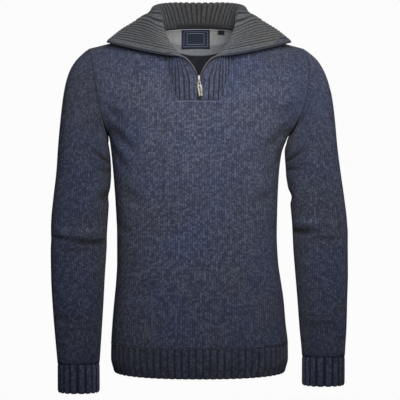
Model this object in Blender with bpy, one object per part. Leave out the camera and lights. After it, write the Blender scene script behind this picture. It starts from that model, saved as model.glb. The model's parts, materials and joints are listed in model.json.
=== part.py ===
"""Quarter zip sweater: a hollow knitted garment, filled out as it is worn.

The sizes below are millimetres; meshes are made in metres. +Z is up and the garment faces -Y.
X = 0 is the line of the zip, and Z = 0 is the height where the collar meets the shoulders.
Left is -X. Every piece is a wall of cloth: a grid of section points on its outer side, and the
same grid moved inward by the cloth's thickness.
"""
import math

import bmesh
import bpy
import numpy as np

for old in list(bpy.data.objects):
    bpy.data.objects.remove(old, do_unlink=True)

MM = 0.001
SEAM_GAP = 0.3          # between two pieces along a seam
CLOTH = 3.0             # thickness of the stockinette wall
RIB_CLOTH = 3.2         # thickness of the ribbed wall over a rib
RIB_GROOVE = 1.5        # depth of the groove between two ribs
COLLAR_CLOTH = 2.8      # thickness of one of the two collar layers over a rib
COLLAR_GROOVE = 1.6
COLLAR_SEAM = 0.7       # between the collar's foot and the neck edge of the panels

HEM_LINE = -610.0       # where the stockinette ends and the hem rib starts
HEM_END = -664.0
ARMPIT = -212.0
HEM_RIBS = 34           # on each of the two hem strips
CUFF_RIBS = 18
COLLAR_RIBS = 20        # on each side, from the zip to the middle of the back

# The torso's level sections, from the hem up to the armpits.
TORSO_COLUMNS = ("z", "left", "right", "front", "back")
TORSO = (
    (-664, -167.0, 169.0, 107, 107),
    (-640, -172.5, 174.5, 110, 110),
    (-610, -172.0, 174.0, 110, 109),
    (-573, -169.7, 169.7, 108, 107),
    (-527, -165.7, 165.7, 106, 103),
    (-495, -162.5, 161.0, 105, 98),
    (-450, -160.0, 154.5, 103, 92),
    (-400, -160.0, 152.0, 103, 88),
    (-340, -162.5, 153.0, 109, 92),
    (-277, -167.0, 156.0, 116, 101),
    (-240, -170.5, 161.0, 118, 104),
    (-212, -174.0, 171.0, 119, 106),
)
TORSO_POWER = 2.3       # 2 is an ellipse; more is squarer
PANEL_LEVELS = (-570, -515, -460, -405, -350, -298, -250)
# Sections from the armpit (0) up to the shoulder tip (1), closer where the shoulder rounds over.
ARM_RISES = (0.0, 0.12, 0.24, 0.36, 0.48, 0.6, 0.72, 0.83, 0.93, 1.0)

# The armhole seam, by its turn in degrees from the shoulder tip down to the armpit.
ARMHOLE_COLUMNS = ("turn", "left", "right", "front", "back", "z")
ARMHOLE = (
    (0, -214, 203, 0, 0, -36),
    (30, -207, 208, 34, 34, -52),
    (60, -200, 209, 58, 62, -84),
    (90, -194, 206, 67, 72, -122),
    (120, -187, 196, 62, 66, -160),
    (150, -180, 183, 40, 43, -192),
    (180, -175, 172, 0, 0, -212),
)

# Shoulders and neck edge.
NECK_HALF_WIDTH = 82.0
NECK_POINT_Z = -4.0
SHOULDER_SLOPE = 0.28
SHOULDER_PARTS = 5
NOTCH_HALF_WIDTH = 41.0
NOTCH_Z = -138.0
NOTCH_SIDE_STOPS = (1.0, 0.72, 0.45, 0.22, 0.08, 0.0)     # 0 is the neck point, 1 the notch corner
BACK_NECK_DEPTH = 62.0
BACK_NECK_Z = 9.0
BACK_NECK_PARTS = 10
UPPER_HALF_WIDTH = 242.0
UPPER_POWER = 2.6
SHOULDER_ROUND = 1.7

# The sleeves' sections, from the cap to the cuff: each runs from an outer to an inner point.
SLEEVE_COLUMNS = ("outer_z", "outer_left", "outer_right", "inner_z", "inner_left", "inner_right",
                  "half_depth", "middle_y")
SLEEVE = (
    (-58, -238, 229, -223, -176.5, 170.0, 66, 2),
    (-76, -250, 241, -231, -175.0, 167.5, 65, 3),
    (-101, -259, 251, -239, -174.0, 167.0, 63, 4),
    (-132, -265, 259, -248, -173.0, 167.5, 61, 5),
    (-175, -270, 265, -257, -172.5, 168.5, 59, 6),
    (-225, -275, 270, -267, -172.0, 169.5, 57, 8),
    (-277, -279, 277, -283, -172.0, 170.5, 55, 10),
    (-325, -285, 284, -325, -175.5, 177.0, 54, 12),
    (-372, -290, 290, -372, -179.0, 182.0, 52, 14),
    (-386, -290.5, 291, -386, -180.0, 183.0, 51, 14),
    (-398, -290.5, 292, -398, -180.7, 183.6, 50, 14),
    (-407, -290, 292, -407, -181.0, 184.0, 49.5, 13),
    (-416, -290.5, 292, -416, -181.0, 184.4, 49, 13),
    (-430, -291, 292, -430, -181.5, 185.0, 48, 12),
    (-480, -290, 292, -480, -184.5, 188.5, 44, 6),
    (-535, -286.5, 290, -535, -187.0, 192.5, 39, -3),
    (-590, -281.5, 288, -590, -190.0, 196.0, 33, -12),
    (-633, -277, 285, -632, -192.5, 199.5, 29, -19),
    (-648, -275.5, 284, -647, -193.5, 200.5, 28, -21),
)
SLEEVE_POWER = 2.2
CAP_FADE = (0.85, 0.65, 0.4, 0.2)              # how much of the armhole's shape the cap keeps
UPPER_ARM_Z = -277.0                            # the sleeves' lengths differ only below here
SLEEVE_REACH = {"left": 1.0, "right": 0.962}    # the right arm hangs a little shorter
CUFF_LENGTH = 57.0

# Creases in the cloth: soft troughs, by the side, height, and start and end of their turn.
CREASE_COLUMNS = ("side", "z", "from_turn", "to_turn", "half_height", "depth")
SLEEVE_CREASES = (
    ("left", -407, 10, 150, 10, 4.5),
    ("left", -386, 210, 320, 12, 3.0),
    ("left", -325, 120, 200, 18, 3.0),
    ("right", -392, 110, 190, 10, 4.0),
    ("right", -407, 35, 100, 10, 3.0),
    ("right", -416, 215, 330, 12, 3.0),
    ("right", -325, 150, 230, 18, 3.0),
)
# Folds that run from the armholes over the chest and the shoulder blades, on each side.
FOLD_COLUMNS = ("start_x", "start_z", "end_x", "end_z", "half_width", "depth")
PANEL_FOLDS = (
    (180, -178, 112, -252, 17, 5.0),
    (188, -140, 138, -190, 16, 3.5),
    (158, -300, 96, -345, 20, 3.0),
)

# The collar. Rib numbers run from the zip (0) to the middle of the back (20) on each side; X is
# the distance from the zip line. ROLL is the line where the collar turns over, with the handle
# that leads each rib across it. EDGE is its free edge, with the handle that leads the rib out.
COLLAR_EDGE_X = 4.3
FLAT_RIBS = 4.0         # ribs that start on the notch's flat foot
SIDE_RIBS = 12.0        # the rib number at the neck point
ROLL_COLUMNS = ("rib", "x", "y", "z", "lead_x", "lead_y", "lead_z")
ROLL = (
    (0.0, 44.5, -98, -53, 30, 4, 3),
    (1.6, 48.5, -92, -46, 28, -1, 7),
    (3.2, 52.5, -85, -40, 25, -5, 9),
    (6.5, 60.5, -68, -28, 22, -7, 9),
    (8.7, 66.0, -50, -14, 20, -5, 7),
    (10.9, 73.5, -22, 5, 18, -1, 4),
    (12.8, 80.0, 13, 36, 17, 4, 0),
    (14.2, 84.0, 41, 47, 14, 9, 0),
    (16.0, 71.0, 66, 54, 9, 13, 0),
    (18.0, 40.0, 79, 57, 4, 16, 0),
    (20.0, 0.0, 83, 57, 0, 16, 0),
)
EDGE_COLUMNS = ("rib", "x", "y", "z", "lead_x", "lead_y", "lead_z")
EDGE = (
    (0.0, 175.4, -32, -24.6, 38, 17, 10),
    (2.5, 165.5, -18, -15.0, 36, 22, 6),
    (6.2, 149.5, 4, -0.5, 34, 28, 2),
    (8.4, 138.0, 20, 8.0, 30, 30, -2),
    (10.2, 127.0, 35, 16.0, 24, 26, -6),
    (12.4, 110.0, 62, 28.0, 15, 20, -10),
    (14.1, 96.0, 80, 27.0, 10, 12, -14),
    (16.0, 76.0, 95, 23.0, 6, 7, -18),
    (18.0, 41.0, 106, 18.0, 3, 3, -20),
    (20.0, 0.0, 110, 16.0, 0, 2, -20),
)
FOOT_SHARE = (0.42, 0.2)    # of the stand's height that stands straight: at the zip, at the side
CHEST_LEAN = 0.4        # how far the ribs beside the notch lie back with the chest
ROLL_RADIUS = 8.0
STAND_STEPS = (0.27, 0.52, 0.76, 1.0)                  # along a rib, from its straight foot to the roll
FALL_STEPS = (0.1, 0.26, 0.5, 0.75, 1.0)        # and from the roll line to the free edge
FIRST_GROOVE = 0.4      # the groove beside the zip is this share of the others' depth
TIGHT_RIBS = (0.5, 12.5, 13.5, 14.5, 15.5)      # where the plain sides bend between two ribs
RIB_SHOULDER = 0.2                              # of a rib's width, from its side to its flat top

# The zip.
TAPE_THICKNESS = 1.5
TAPE_TURN_GAP = 1.4                             # to the collar's edge, where the two twist
TAPE_SLIT = 0.2                                 # half the gap between the two closed coils
SLIDER_Z = -100.5
SLIDER_HALF_WIDTH = 3.3
SLIDER_LENGTH = 14.5
PLATE = 1.2
BACK_PLATE_LENGTH = 5.0
BACK_PLATE_GAP = 0.2                            # more than in front, for the tapes that part there
POST_WIDTH = 2.2
POST_HEIGHT = 1.4
BAIL_WIDTH = 1.4
BAIL_HEIGHT = 7.0
BAIL_REACH = 4.6                                # from the plate to the bail's front
BAIL_BAR = 1.1
PIN_RADIUS = 0.65
PIN_PLAY = 0.35                                 # between the pull's top bar and the bail
PULL_LENGTH = 27.2
PULL_WIDTH = 8.4
PULL_THICKNESS = 1.6
PULL_LEAN = math.radians(8)
EYE_WIDTH = 5.6
EYE_HOLE = 2.6
EYE_LENGTH = 6.6                                # the tab clears the bail's top as it swings
RECESS_WIDTH = 2.2
RECESS_DEPTH = 0.3
RECESS_MARGIN = 2.0                             # of full thickness above and below the recess
OVERLAP = 0.2                                   # how far joined blocks reach into one another

# Inside the back neck.
PATCH_HALF_WIDTH = 69.0
PATCH_DEPTH = 55.0
PATCH_THICKNESS = 1.0
PATCH_GAP = 0.7
PATCH_TOP = 1.5                                 # below the panel's neck edge
PATCH_END_DEPTH = 9.0                           # at its two ends
PATCH_FOOT_POWER = 0.8                          # less than 1 is a fuller half-moon
LABEL_DROP = 1.0
SIZE_TAB_DROP = 1.0
LABEL_SIZE = (58.0, 40.0, 0.6)
LABEL_X = -7.0
SIZE_TAB = (14.0, 10.0, 0.6)
SIZE_TAB_X = 46.0
LAYER_GAP = 0.9


# ---------------------------------------------------------------- sections
class Sections:
    """A short table read between its rows by a smooth curve that doesn't overshoot."""

    def __init__(self, columns, rows):
        self.columns = columns
        data = np.array(sorted(rows), dtype=float)
        self.place = data[:, 0]
        self.data = data
        step = np.diff(self.place)[:, None]
        rise = np.diff(data, axis=0) / step
        slope = np.zeros_like(data)
        slope[0], slope[-1] = rise[0], rise[-1]
        same_way = rise[:-1] * rise[1:] > 0
        total = np.where(same_way, rise[:-1] + rise[1:], 1.0)
        slope[1:-1] = np.where(same_way, 2 * rise[:-1] * rise[1:] / total, 0.0)
        self.slope = slope

    def at(self, place):
        """Every column's value at a place, by name."""
        place = min(max(place, self.place[0]), self.place[-1])
        row = min(int(np.searchsorted(self.place, place, side="right")) - 1, len(self.place) - 2)
        width = self.place[row + 1] - self.place[row]
        t = (place - self.place[row]) / width
        ease = t * t * (3 - 2 * t)
        value = (self.data[row] * (1 - ease) + self.data[row + 1] * ease
                 + self.slope[row] * width * t * (1 - t) ** 2
                 - self.slope[row + 1] * width * t * t * (1 - t))
        return dict(zip(self.columns, value))


torso_sections = Sections(TORSO_COLUMNS, TORSO)
armhole_sections = Sections(ARMHOLE_COLUMNS, ARMHOLE)
roll_sections = Sections(ROLL_COLUMNS, ROLL)
edge_sections = Sections(EDGE_COLUMNS, EDGE)


def vec(*values):
    return np.array(values, dtype=float)


def unit(vectors):
    length = np.linalg.norm(vectors, axis=-1, keepdims=True)
    return vectors / np.maximum(length, 1e-9)


def squared(value, power):
    """A sine or cosine bent towards a squarer section."""
    return math.copysign(abs(value) ** (2 / power), value)


def hump(value):
    """1 at 0, falling smoothly to 0 at 1 and -1."""
    return math.cos(min(abs(value), 1.0) * math.pi / 2) ** 2


# ---------------------------------------------------------------- torso and armholes
def torso_point(turn, z, face):
    """A point of the torso. turn runs from 0 at the left side seam to pi at the right one."""
    ring = torso_sections.at(z)
    middle = (ring["left"] + ring["right"]) / 2
    half = (ring["right"] - ring["left"]) / 2
    depth = -ring["front"] if face == "front" else ring["back"]
    return vec(middle - half * squared(math.cos(turn), TORSO_POWER),
               depth * squared(math.sin(turn), TORSO_POWER), z)


def armhole_point(turn, side):
    """A point of the armhole seam. turn in degrees: 0 tip, 90 front, 180 armpit, 270 back."""
    front = turn <= 180
    row = armhole_sections.at(turn if front else 360 - turn)
    return vec(row[side], -row["front"] if front else row["back"], row["z"])


def shoulder_z(x):
    """The height of the shoulder line, drawn on to the middle above the neck."""
    return NECK_POINT_Z + SHOULDER_SLOPE * (NECK_HALF_WIDTH - abs(x))


def rounding(drop):
    """How far the cloth has come forward, for a drop from 0 at the shoulder to 1 at the chest."""
    drop = min(max(drop, 0.0), 1.0)
    return (1 - (1 - drop) ** SHOULDER_ROUND) ** (1 / SHOULDER_ROUND)


def upper_depth(x, chest_depth):
    """The chest's depth carried up over the shoulders."""
    across = min(abs(x) / UPPER_HALF_WIDTH, 1.0)
    return chest_depth * (1 - across ** UPPER_POWER) ** (1 / UPPER_POWER)


# ---------------------------------------------------------------- top edges of the panels
def shoulder_stops(side):
    """From the shoulder tip to just before the neck point."""
    tip = armhole_point(0, side)
    sign = -1 if side == "left" else 1
    neck_point = vec(sign * NECK_HALF_WIDTH, 0, NECK_POINT_Z)
    return [tip + (neck_point - tip) * part / SHOULDER_PARTS for part in range(SHOULDER_PARTS)]


def notch_side(sign):
    """From the neck point down to the notch corner, on the chest's surface."""
    chest = torso_sections.at(ARMPIT)["front"]
    stops = []
    for stop in reversed(NOTCH_SIDE_STOPS):
        x = NECK_HALF_WIDTH + (NOTCH_HALF_WIDTH - NECK_HALF_WIDTH) * stop
        z = NECK_POINT_Z + (NOTCH_Z - NECK_POINT_Z) * stop
        top = shoulder_z(x)
        y = -upper_depth(x, chest) * rounding((top - z) / (top - ARMPIT)) if stop else 0.0
        stops.append(vec(sign * x, y, z))
    return stops


def front_top():
    chest = torso_sections.at(ARMPIT)["front"]
    top = shoulder_z(0)
    middle_y = -chest * rounding((top - NOTCH_Z) / (top - ARMPIT))
    left, right = notch_side(-1), notch_side(1)
    middle = [vec(-NOTCH_HALF_WIDTH / 2, middle_y, NOTCH_Z), vec(0, middle_y, NOTCH_Z),
              vec(NOTCH_HALF_WIDTH / 2, middle_y, NOTCH_Z)]
    return shoulder_stops("left") + left + middle + right[::-1] + shoulder_stops("right")[::-1]


def back_top():
    neck = []
    for part in range(BACK_NECK_PARTS + 1):
        turn = math.pi * part / BACK_NECK_PARTS
        neck.append(vec(-NECK_HALF_WIDTH * math.cos(turn), BACK_NECK_DEPTH * math.sin(turn),
                        NECK_POINT_Z + (BACK_NECK_Z - NECK_POINT_Z) * math.sin(turn)))
    return shoulder_stops("left") + neck + shoulder_stops("right")[::-1]


TOPS = {"front": front_top(), "back": back_top()}


def column_turns(top):
    """The turn round the torso where each column of a panel starts."""
    ring = torso_sections.at(ARMPIT)
    middle = (ring["left"] + ring["right"]) / 2
    half = (ring["right"] - ring["left"]) / 2
    turns = []
    for point in top:
        across = min(max((middle - point[0]) / half, -1.0), 1.0)
        turns.append(math.acos(math.copysign(abs(across) ** (TORSO_POWER / 2), across)))
    last = len(top) - 1
    for part in range(SHOULDER_PARTS):
        turns[part] = turns[SHOULDER_PARTS] * part / SHOULDER_PARTS
        turns[last - part] = math.pi - (math.pi - turns[last - SHOULDER_PARTS]) * part / SHOULDER_PARTS
    return turns


TURNS = {face: column_turns(TOPS[face]) for face in TOPS}


def between(values, place):
    """A value or point of a list at a place between two of its items."""
    item = min(int(place), len(values) - 2)
    part = place - item
    return values[item] * (1 - part) + values[item + 1] * part


def fold_depth(x, z, folds):
    """How far the cloth sinks at a place, from the soft folds on both sides."""
    depth = 0.0
    for start_x, start_z, end_x, end_z, half_width, sink in folds:
        along = vec(end_x - start_x, end_z - start_z)
        length = np.linalg.norm(along)
        along /= length
        offset = vec(abs(x) - start_x, z - start_z)
        run = offset @ along / length
        across = offset[0] * along[1] - offset[1] * along[0]
        depth += sink * hump(2 * run - 1) * hump(across / half_width)
    return depth


def seam_fade(y):
    """Folds die out at the side seams."""
    return min(1.0, abs(y) / 30)


def panel_point(face, column, rise):
    """A point of a panel. column counts along its top edge; rise is -1 at the hem line, 0 at the
    armpits and 1 at the top edge."""
    turn = between(TURNS[face], column)
    sign = -1 if face == "front" else 1
    if rise <= 0:
        point = torso_point(turn, ARMPIT + (ARMPIT - HEM_LINE) * rise, face)
    else:
        point = upper_point(face, column, turn, rise)
    point[1] -= sign * fold_depth(point[0], point[2], PANEL_FOLDS) * seam_fade(point[1])
    return point


def upper_point(face, column, turn, rise):
    top_edge = TOPS[face]
    last = len(top_edge) - 1
    start = torso_point(turn, ARMPIT, face)
    end = between(top_edge, column)
    point = start + (end - start) * rise
    side = "left" if column < last / 2 else "right"
    from_edge = min(column, last - column) / SHOULDER_PARTS
    seam_turn = 180 * (1 - rise) if face == "front" else 180 + 180 * rise
    seam = armhole_point(seam_turn, side)
    nearness = max(0.0, 1 - from_edge)
    straight = armhole_point(180, side) * (1 - rise) + armhole_point(0, side) * rise
    point[0] += (seam[0] - straight[0]) * nearness ** 1.5
    point[2] += (seam[2] - straight[2]) * nearness ** 1.5
    chest = abs(torso_point(math.pi / 2, ARMPIT, face)[1])
    high = upper_depth(point[0], chest)
    low = abs(start[1])
    depth = low + (high - low) * min(1.0, rise / 0.4)
    if face == "front":
        top = shoulder_z(point[0])
        drop = (top - point[2]) / (top - ARMPIT)
        y = -depth * rounding(drop)
    else:
        drop = (end[2] - point[2]) / (end[2] - ARMPIT)
        y = end[1] + (depth - end[1]) * rounding(drop)
    edge_share = nearness ** 2 * min(1.0, rise / 0.25)
    if nearness == 1.0:
        edge_share = 1.0
    point[1] = y * (1 - edge_share) + seam[1] * edge_share
    return point


# ---------------------------------------------------------------- meshes
def grid_normals(points, closed=False):
    """Unit normals of a grid of points, by rows and columns."""
    down = np.gradient(points, axis=0)
    if closed:
        across = np.roll(points, -1, axis=1) - np.roll(points, 1, axis=1)
    else:
        across = np.gradient(points, axis=1)
    return unit(np.cross(across, down))


def facet_normals(points):
    """Unit normals of a grid's points, from the triangles that meet at each."""
    ids = np.arange(points.shape[0] * points.shape[1]).reshape(points.shape[:2])
    flat = points.reshape(-1, 3)
    normals = np.zeros_like(flat)
    for face in grid_faces(ids, points):
        normal = np.cross(flat[face[1]] - flat[face[0]], flat[face[2]] - flat[face[0]])
        for corner in range(3):
            to_next = unit(flat[face[(corner + 1) % 3]] - flat[face[corner]])
            to_last = unit(flat[face[corner - 1]] - flat[face[corner]])
            angle = math.acos(min(max(float(to_next @ to_last), -1.0), 1.0))
            normals[face[corner]] += unit(normal) * angle
    return unit(normals).reshape(points.shape)


def keep_clear(inward, facing):
    """Takes out of the inward directions the share that leans over a seam's neighbour."""
    lean = np.maximum((inward * facing).sum(axis=-1, keepdims=True), 0.0)
    return unit(inward - lean * facing)


def join_edges(first, first_at, second, second_at):
    """Triangles between two edges; the second moves on halfway between its points."""
    faces = []
    i = j = 0
    while i < len(first) - 1 or j < len(second) - 1:
        halfway = (second_at[j] + second_at[min(j + 1, len(second) - 1)]) / 2
        take_first = j == len(second) - 1 or (i < len(first) - 1 and first_at[i + 1] <= halfway + 1e-6)
        if take_first:
            faces.append((first[i], first[i + 1], second[j]))
            i += 1
        else:
            faces.append((first[i], second[j + 1], second[j]))
            j += 1
    return faces


def grid_faces(ids, points):
    """Triangles of a grid, each four-sided cell cut along its shorter diagonal."""
    faces = []
    count = points.shape[1]
    for row in range(ids.shape[0] - 1):
        for column in range(ids.shape[1] - 1):
            beside = (column + 1) % count
            falling = np.linalg.norm(points[row, column] - points[row + 1, beside])
            rising = np.linalg.norm(points[row, beside] - points[row + 1, column])
            a, b = ids[row, column], ids[row, column + 1]
            c, d = ids[row + 1, column + 1], ids[row + 1, column]
            faces += [(a, b, c), (a, c, d)] if falling < rising else [(a, b, d), (b, c, d)]
    return faces


def wall_mesh(outer, outer_at, inner, inner_at, closed, inner_guide):
    """A closed wall between two grids with the same rows, each with its own columns. The inner
    grid's cells are cut as those of the guide."""
    points = [*outer.reshape(-1, 3), *inner.reshape(-1, 3)]
    rows, outer_count = outer.shape[:2]
    inner_count = inner.shape[1]
    outer_ids = np.arange(rows * outer_count).reshape(rows, outer_count)
    inner_ids = np.arange(rows * inner_count).reshape(rows, inner_count) + rows * outer_count
    if closed:
        outer_ids = np.hstack((outer_ids, outer_ids[:, :1]))
        inner_ids = np.hstack((inner_ids, inner_ids[:, :1]))
    faces = grid_faces(outer_ids, outer) + grid_faces(inner_ids, inner_guide)
    for row in (0, rows - 1):
        faces += join_edges(list(outer_ids[row]), outer_at, list(inner_ids[row]), inner_at)
    if not closed:
        for column in (0, -1):
            for row in range(rows - 1):
                faces.append((outer_ids[row, column], outer_ids[row + 1, column],
                              inner_ids[row + 1, column], inner_ids[row, column]))
    return points, [tuple(int(corner) for corner in face) for face in faces]


def add_object(name, mesh, material):
    piece = bpy.data.objects.new(name, mesh)
    garment.objects.link(piece)
    mesh.materials.append(material)
    return piece


def add_wall(name, outer, inner, material, closed=False, outer_at=None, inner_at=None, guide=None):
    """Makes the solid of a wall and its object."""
    if guide is None:
        guide = inner
    if outer_at is None:
        outer_at = inner_at = list(range(outer.shape[1] + (1 if closed else 0)))
    points, faces = wall_mesh(outer, outer_at, inner, inner_at, closed, guide)
    mesh = bpy.data.meshes.new(name)
    mesh.from_pydata([tuple(point * MM) for point in points], [], faces)
    work = bmesh.new()
    work.from_mesh(mesh)
    bmesh.ops.recalc_face_normals(work, faces=work.faces)
    work.to_mesh(mesh)
    work.free()
    mesh.shade_smooth()
    mesh.set_sharp_from_angle(angle=math.radians(50))
    return add_object(name, mesh, material)


def add_material(name, colour, roughness, metallic=0.0):
    material = bpy.data.materials.new(name)
    material.use_nodes = True
    shader = material.node_tree.nodes["Principled BSDF"]
    shader.inputs["Base Color"].default_value = (*colour, 1.0)
    shader.inputs["Roughness"].default_value = roughness
    shader.inputs["Metallic"].default_value = metallic
    return material


# ---------------------------------------------------------------- front and back panels
def panel_grid(face):
    """Points of a panel, from the hem line up, and their inward directions."""
    columns = len(TOPS[face])
    hem = HEM_LINE + SEAM_GAP / 2
    rises = [(z - ARMPIT) / (ARMPIT - HEM_LINE) for z in (hem, *PANEL_LEVELS)]
    rises += ARM_RISES
    points = np.array([[panel_point(face, column, rise) for column in range(columns)]
                       for rise in rises])
    inward = grid_normals(points)
    sign = -1 if face == "front" else 1
    if inward[3, columns // 2, 1] * sign > 0:
        inward = -inward
    # Along each seam nothing leans over the piece beyond it.
    low = len(PANEL_LEVELS) + 2
    over_side = vec(0, -sign, 0)
    inward[0] = keep_clear(inward[0], vec(0, 0, -1))
    for column in (0, -1):
        inward[:low, column] = keep_clear(inward[:low, column], over_side)
        points[:low, column, 1] += sign * SEAM_GAP / 2
    for column, out in ((0, vec(-1, 0, 0)), (-1, vec(1, 0, 0))):
        inward[low - 1:, column] = keep_clear(inward[low - 1:, column], out)
        points[low - 1:, column] -= out * SEAM_GAP / 2
    shoulder = [*range(SHOULDER_PARTS + 1), *range(columns - SHOULDER_PARTS - 1, columns)]
    inward[-1, shoulder] = keep_clear(inward[-1, shoulder], over_side)
    points[-1, shoulder, 1] += sign * SEAM_GAP / 2
    neck = slice(SHOULDER_PARTS, columns - SHOULDER_PARTS)
    along = unit(np.gradient(points[-1], axis=0))[neck]
    over_neck = unit(np.cross(along, inward[-1, neck]))
    over_neck *= np.sign(over_neck[:, 2] + 1e-3)[:, None] if face == "front" else 1
    if face == "back" and over_neck[len(over_neck) // 2, 1] > 0:
        over_neck = -over_neck
    inward[-1, neck] = keep_clear(inward[-1, neck], over_neck)
    return points, inward


def add_panel(face, material):
    points, inward = panel_grid(face)
    add_wall(face, points, points + inward * CLOTH, material)


BACK_GRID = panel_grid("back")


# ---------------------------------------------------------------- ribbed walls
def rib_columns(ribs):
    """Places of a ribbed wall's outer columns, in ribs: a groove on the middle of each."""
    places = [0.0]
    for rib in range(ribs):
        places += [rib + RIB_SHOULDER, rib + 0.5, rib + 1 - RIB_SHOULDER]
    return places + [float(ribs)]


def groove_share(place):
    """1 at the bottom of a groove and 0 on a rib."""
    return 1.0 if abs(place % 1 - 0.5) < 1e-6 else 0.0


def add_hem(face, material):
    places = rib_columns(HEM_RIBS)
    grooves = np.array([groove_share(place) for place in places])[None, :, None]
    levels = (HEM_LINE - SEAM_GAP / 2, (HEM_LINE + HEM_END) / 2, HEM_END)
    sign = -1 if face == "front" else 1
    facing = vec(0, -sign, 0)

    def grid(columns):
        turns = even_turns(columns, face)
        points = np.array([[torso_point(turn, z, face) for turn in turns] for z in levels])
        inward = grid_normals(points)
        if inward[1, len(columns) // 2, 1] * sign > 0:
            inward = -inward
        inward[..., 2] = 0
        inward = unit(inward)
        for column in (0, -1):
            inward[:, column] = keep_clear(inward[:, column], facing)
            points[:, column, 1] += sign * SEAM_GAP / 2
        return points, inward

    points, inward = grid(places)
    outer = points + inward * RIB_GROOVE * grooves
    plain_places = [float(rib) for rib in range(HEM_RIBS + 1)]
    points, inward = grid(plain_places)
    inner = points + inward * RIB_CLOTH
    add_wall("hem_rib_" + face, outer, inner, material, outer_at=places, inner_at=plain_places)


def even_turns(places, face):
    """Turns round half of the hem that are evenly spaced along the cloth."""
    fine = np.linspace(0, math.pi, 721)
    ring = np.array([torso_point(turn, HEM_LINE, face) for turn in fine])
    run = np.concatenate(([0], np.cumsum(np.linalg.norm(np.diff(ring, axis=0), axis=1))))
    return np.interp(np.array(places) / places[-1] * run[-1], run, fine)


# ---------------------------------------------------------------- sleeves and cuffs
def crease_depth(side, z, turn):
    depth = 0.0
    for crease_side, crease_z, start, end, half_height, sink in SLEEVE_CREASES:
        if crease_side == side and start < turn < end:
            along = 2 * (turn - start) / (end - start) - 1
            depth += sink * hump(along) ** 0.5 * hump((z - crease_z) / half_height)
    return depth


def oval(outer, inner, half_depth, turn):
    """A point of the squared oval that runs from an outer to an inner point."""
    angle = math.radians(turn)
    return ((outer + inner) / 2 + (outer - inner) / 2 * squared(math.cos(angle), SLEEVE_POWER)
            - vec(0, half_depth * squared(math.sin(angle), SLEEVE_POWER), 0))


def sleeve_ring(row, side, turns):
    """One section of a sleeve, from its outer to its inner point and round."""
    row = dict(zip(SLEEVE_COLUMNS, row))
    reach = SLEEVE_REACH[side]
    outer_z, inner_z = (z if z > UPPER_ARM_Z - 8 else UPPER_ARM_Z + (z - UPPER_ARM_Z) * reach
                        for z in (row["outer_z"], row["inner_z"]))
    outer = vec(row["outer_" + side], row["middle_y"], outer_z)
    inner = vec(row["inner_" + side], row["middle_y"], inner_z)
    middle = (outer + inner) / 2
    ring = []
    for turn in turns:
        point = oval(outer, inner, row["half_depth"], turn)
        sink = crease_depth(side, middle[2], turn)
        ring.append(point + unit(middle - point) * sink)
    return ring


def add_sleeve(side, material):
    sign = -1 if side == "left" else 1
    half = [180 * (1 - rise) for rise in ARM_RISES[::-1]]
    turns = half + [360 - turn for turn in half[-2:0:-1]]
    seam = np.array([armhole_point(turn, side) for turn in turns])
    seam_ovals = np.array([oval(seam[0], seam[len(half) - 1], seam[:, 1].max(), turn) for turn in turns])
    points = np.array([seam, *(sleeve_ring(row, side, turns) for row in SLEEVE)])
    for ring, kept in zip(points[1:], CAP_FADE):
        ring += (seam - seam_ovals) * kept
    points[0, :, 0] += sign * SEAM_GAP
    inward = grid_normals(points, closed=True)
    middle = points[10].mean(axis=0)
    if (inward[10, 0] @ (middle - points[10, 0])) < 0:
        inward = -inward
    inward[0] = keep_clear(inward[0], vec(-sign, 0, 0))
    inward[-1] = keep_clear(inward[-1], vec(0, 0, -1))
    add_wall("sleeve_" + side, points, points + inward * CLOTH, material, closed=True)


def add_cuff(side, material):
    """The ribbed cuff goes on from the sleeve's last section, and draws in a little at its end."""
    last = dict(zip(SLEEVE_COLUMNS, SLEEVE[-1]))
    top_z = UPPER_ARM_Z + (last["outer_z"] - UPPER_ARM_Z) * SLEEVE_REACH[side] - SEAM_GAP
    outer_x, inner_x = last["outer_" + side], last["inner_" + side]
    middle_x, half_width = (outer_x + inner_x) / 2, (outer_x - inner_x) / 2
    levels = ((0.0, 0.985), (0.12, 1.0), (0.9, 1.0), (1.0, 0.96))

    def grid(places):
        rings = []
        for part, draw_in in levels:
            ring = []
            for place in places:
                angle = 2 * math.pi * place / CUFF_RIBS
                ring.append(vec(middle_x + half_width * draw_in * squared(math.cos(angle), SLEEVE_POWER),
                                last["middle_y"] - last["half_depth"] * draw_in
                                * squared(math.sin(angle), SLEEVE_POWER),
                                top_z - CUFF_LENGTH * part))
            rings.append(ring)
        points = np.array(rings)
        middle = points.mean(axis=1, keepdims=True)
        inward = grid_normals(points, closed=True)
        if (inward[1, 0] @ (middle[1, 0] - points[1, 0])) < 0:
            inward = -inward
        inward[..., 2] = 0
        return points, unit(inward)

    places = rib_columns(CUFF_RIBS)[1:-1]
    grooves = np.array([groove_share(place) for place in places])[None, :, None]
    points, inward = grid(places)
    outer = points + inward * RIB_GROOVE * grooves
    plain_places = [rib + RIB_SHOULDER for rib in range(CUFF_RIBS)]
    points, inward = grid(plain_places)
    inner = points + inward * RIB_CLOTH
    add_wall("cuff_" + side, outer, inner, material, closed=True,
             outer_at=places + [CUFF_RIBS + RIB_SHOULDER],
             inner_at=plain_places + [CUFF_RIBS + RIB_SHOULDER])


# ---------------------------------------------------------------- collar
def run_along(points, part):
    """The point at a share of the length of a line through the points."""
    points = np.array(points)
    run = np.concatenate(([0], np.cumsum(np.linalg.norm(np.diff(points, axis=0), axis=1))))
    return vec(*(np.interp(part * run[-1], run, points[:, axis]) for axis in range(3)))


NOTCH_LINE = notch_side(1)[::-1]
BACK_LINE = TOPS["back"][SHOULDER_PARTS + BACK_NECK_PARTS // 2:SHOULDER_PARTS + BACK_NECK_PARTS + 1][::-1]


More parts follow.
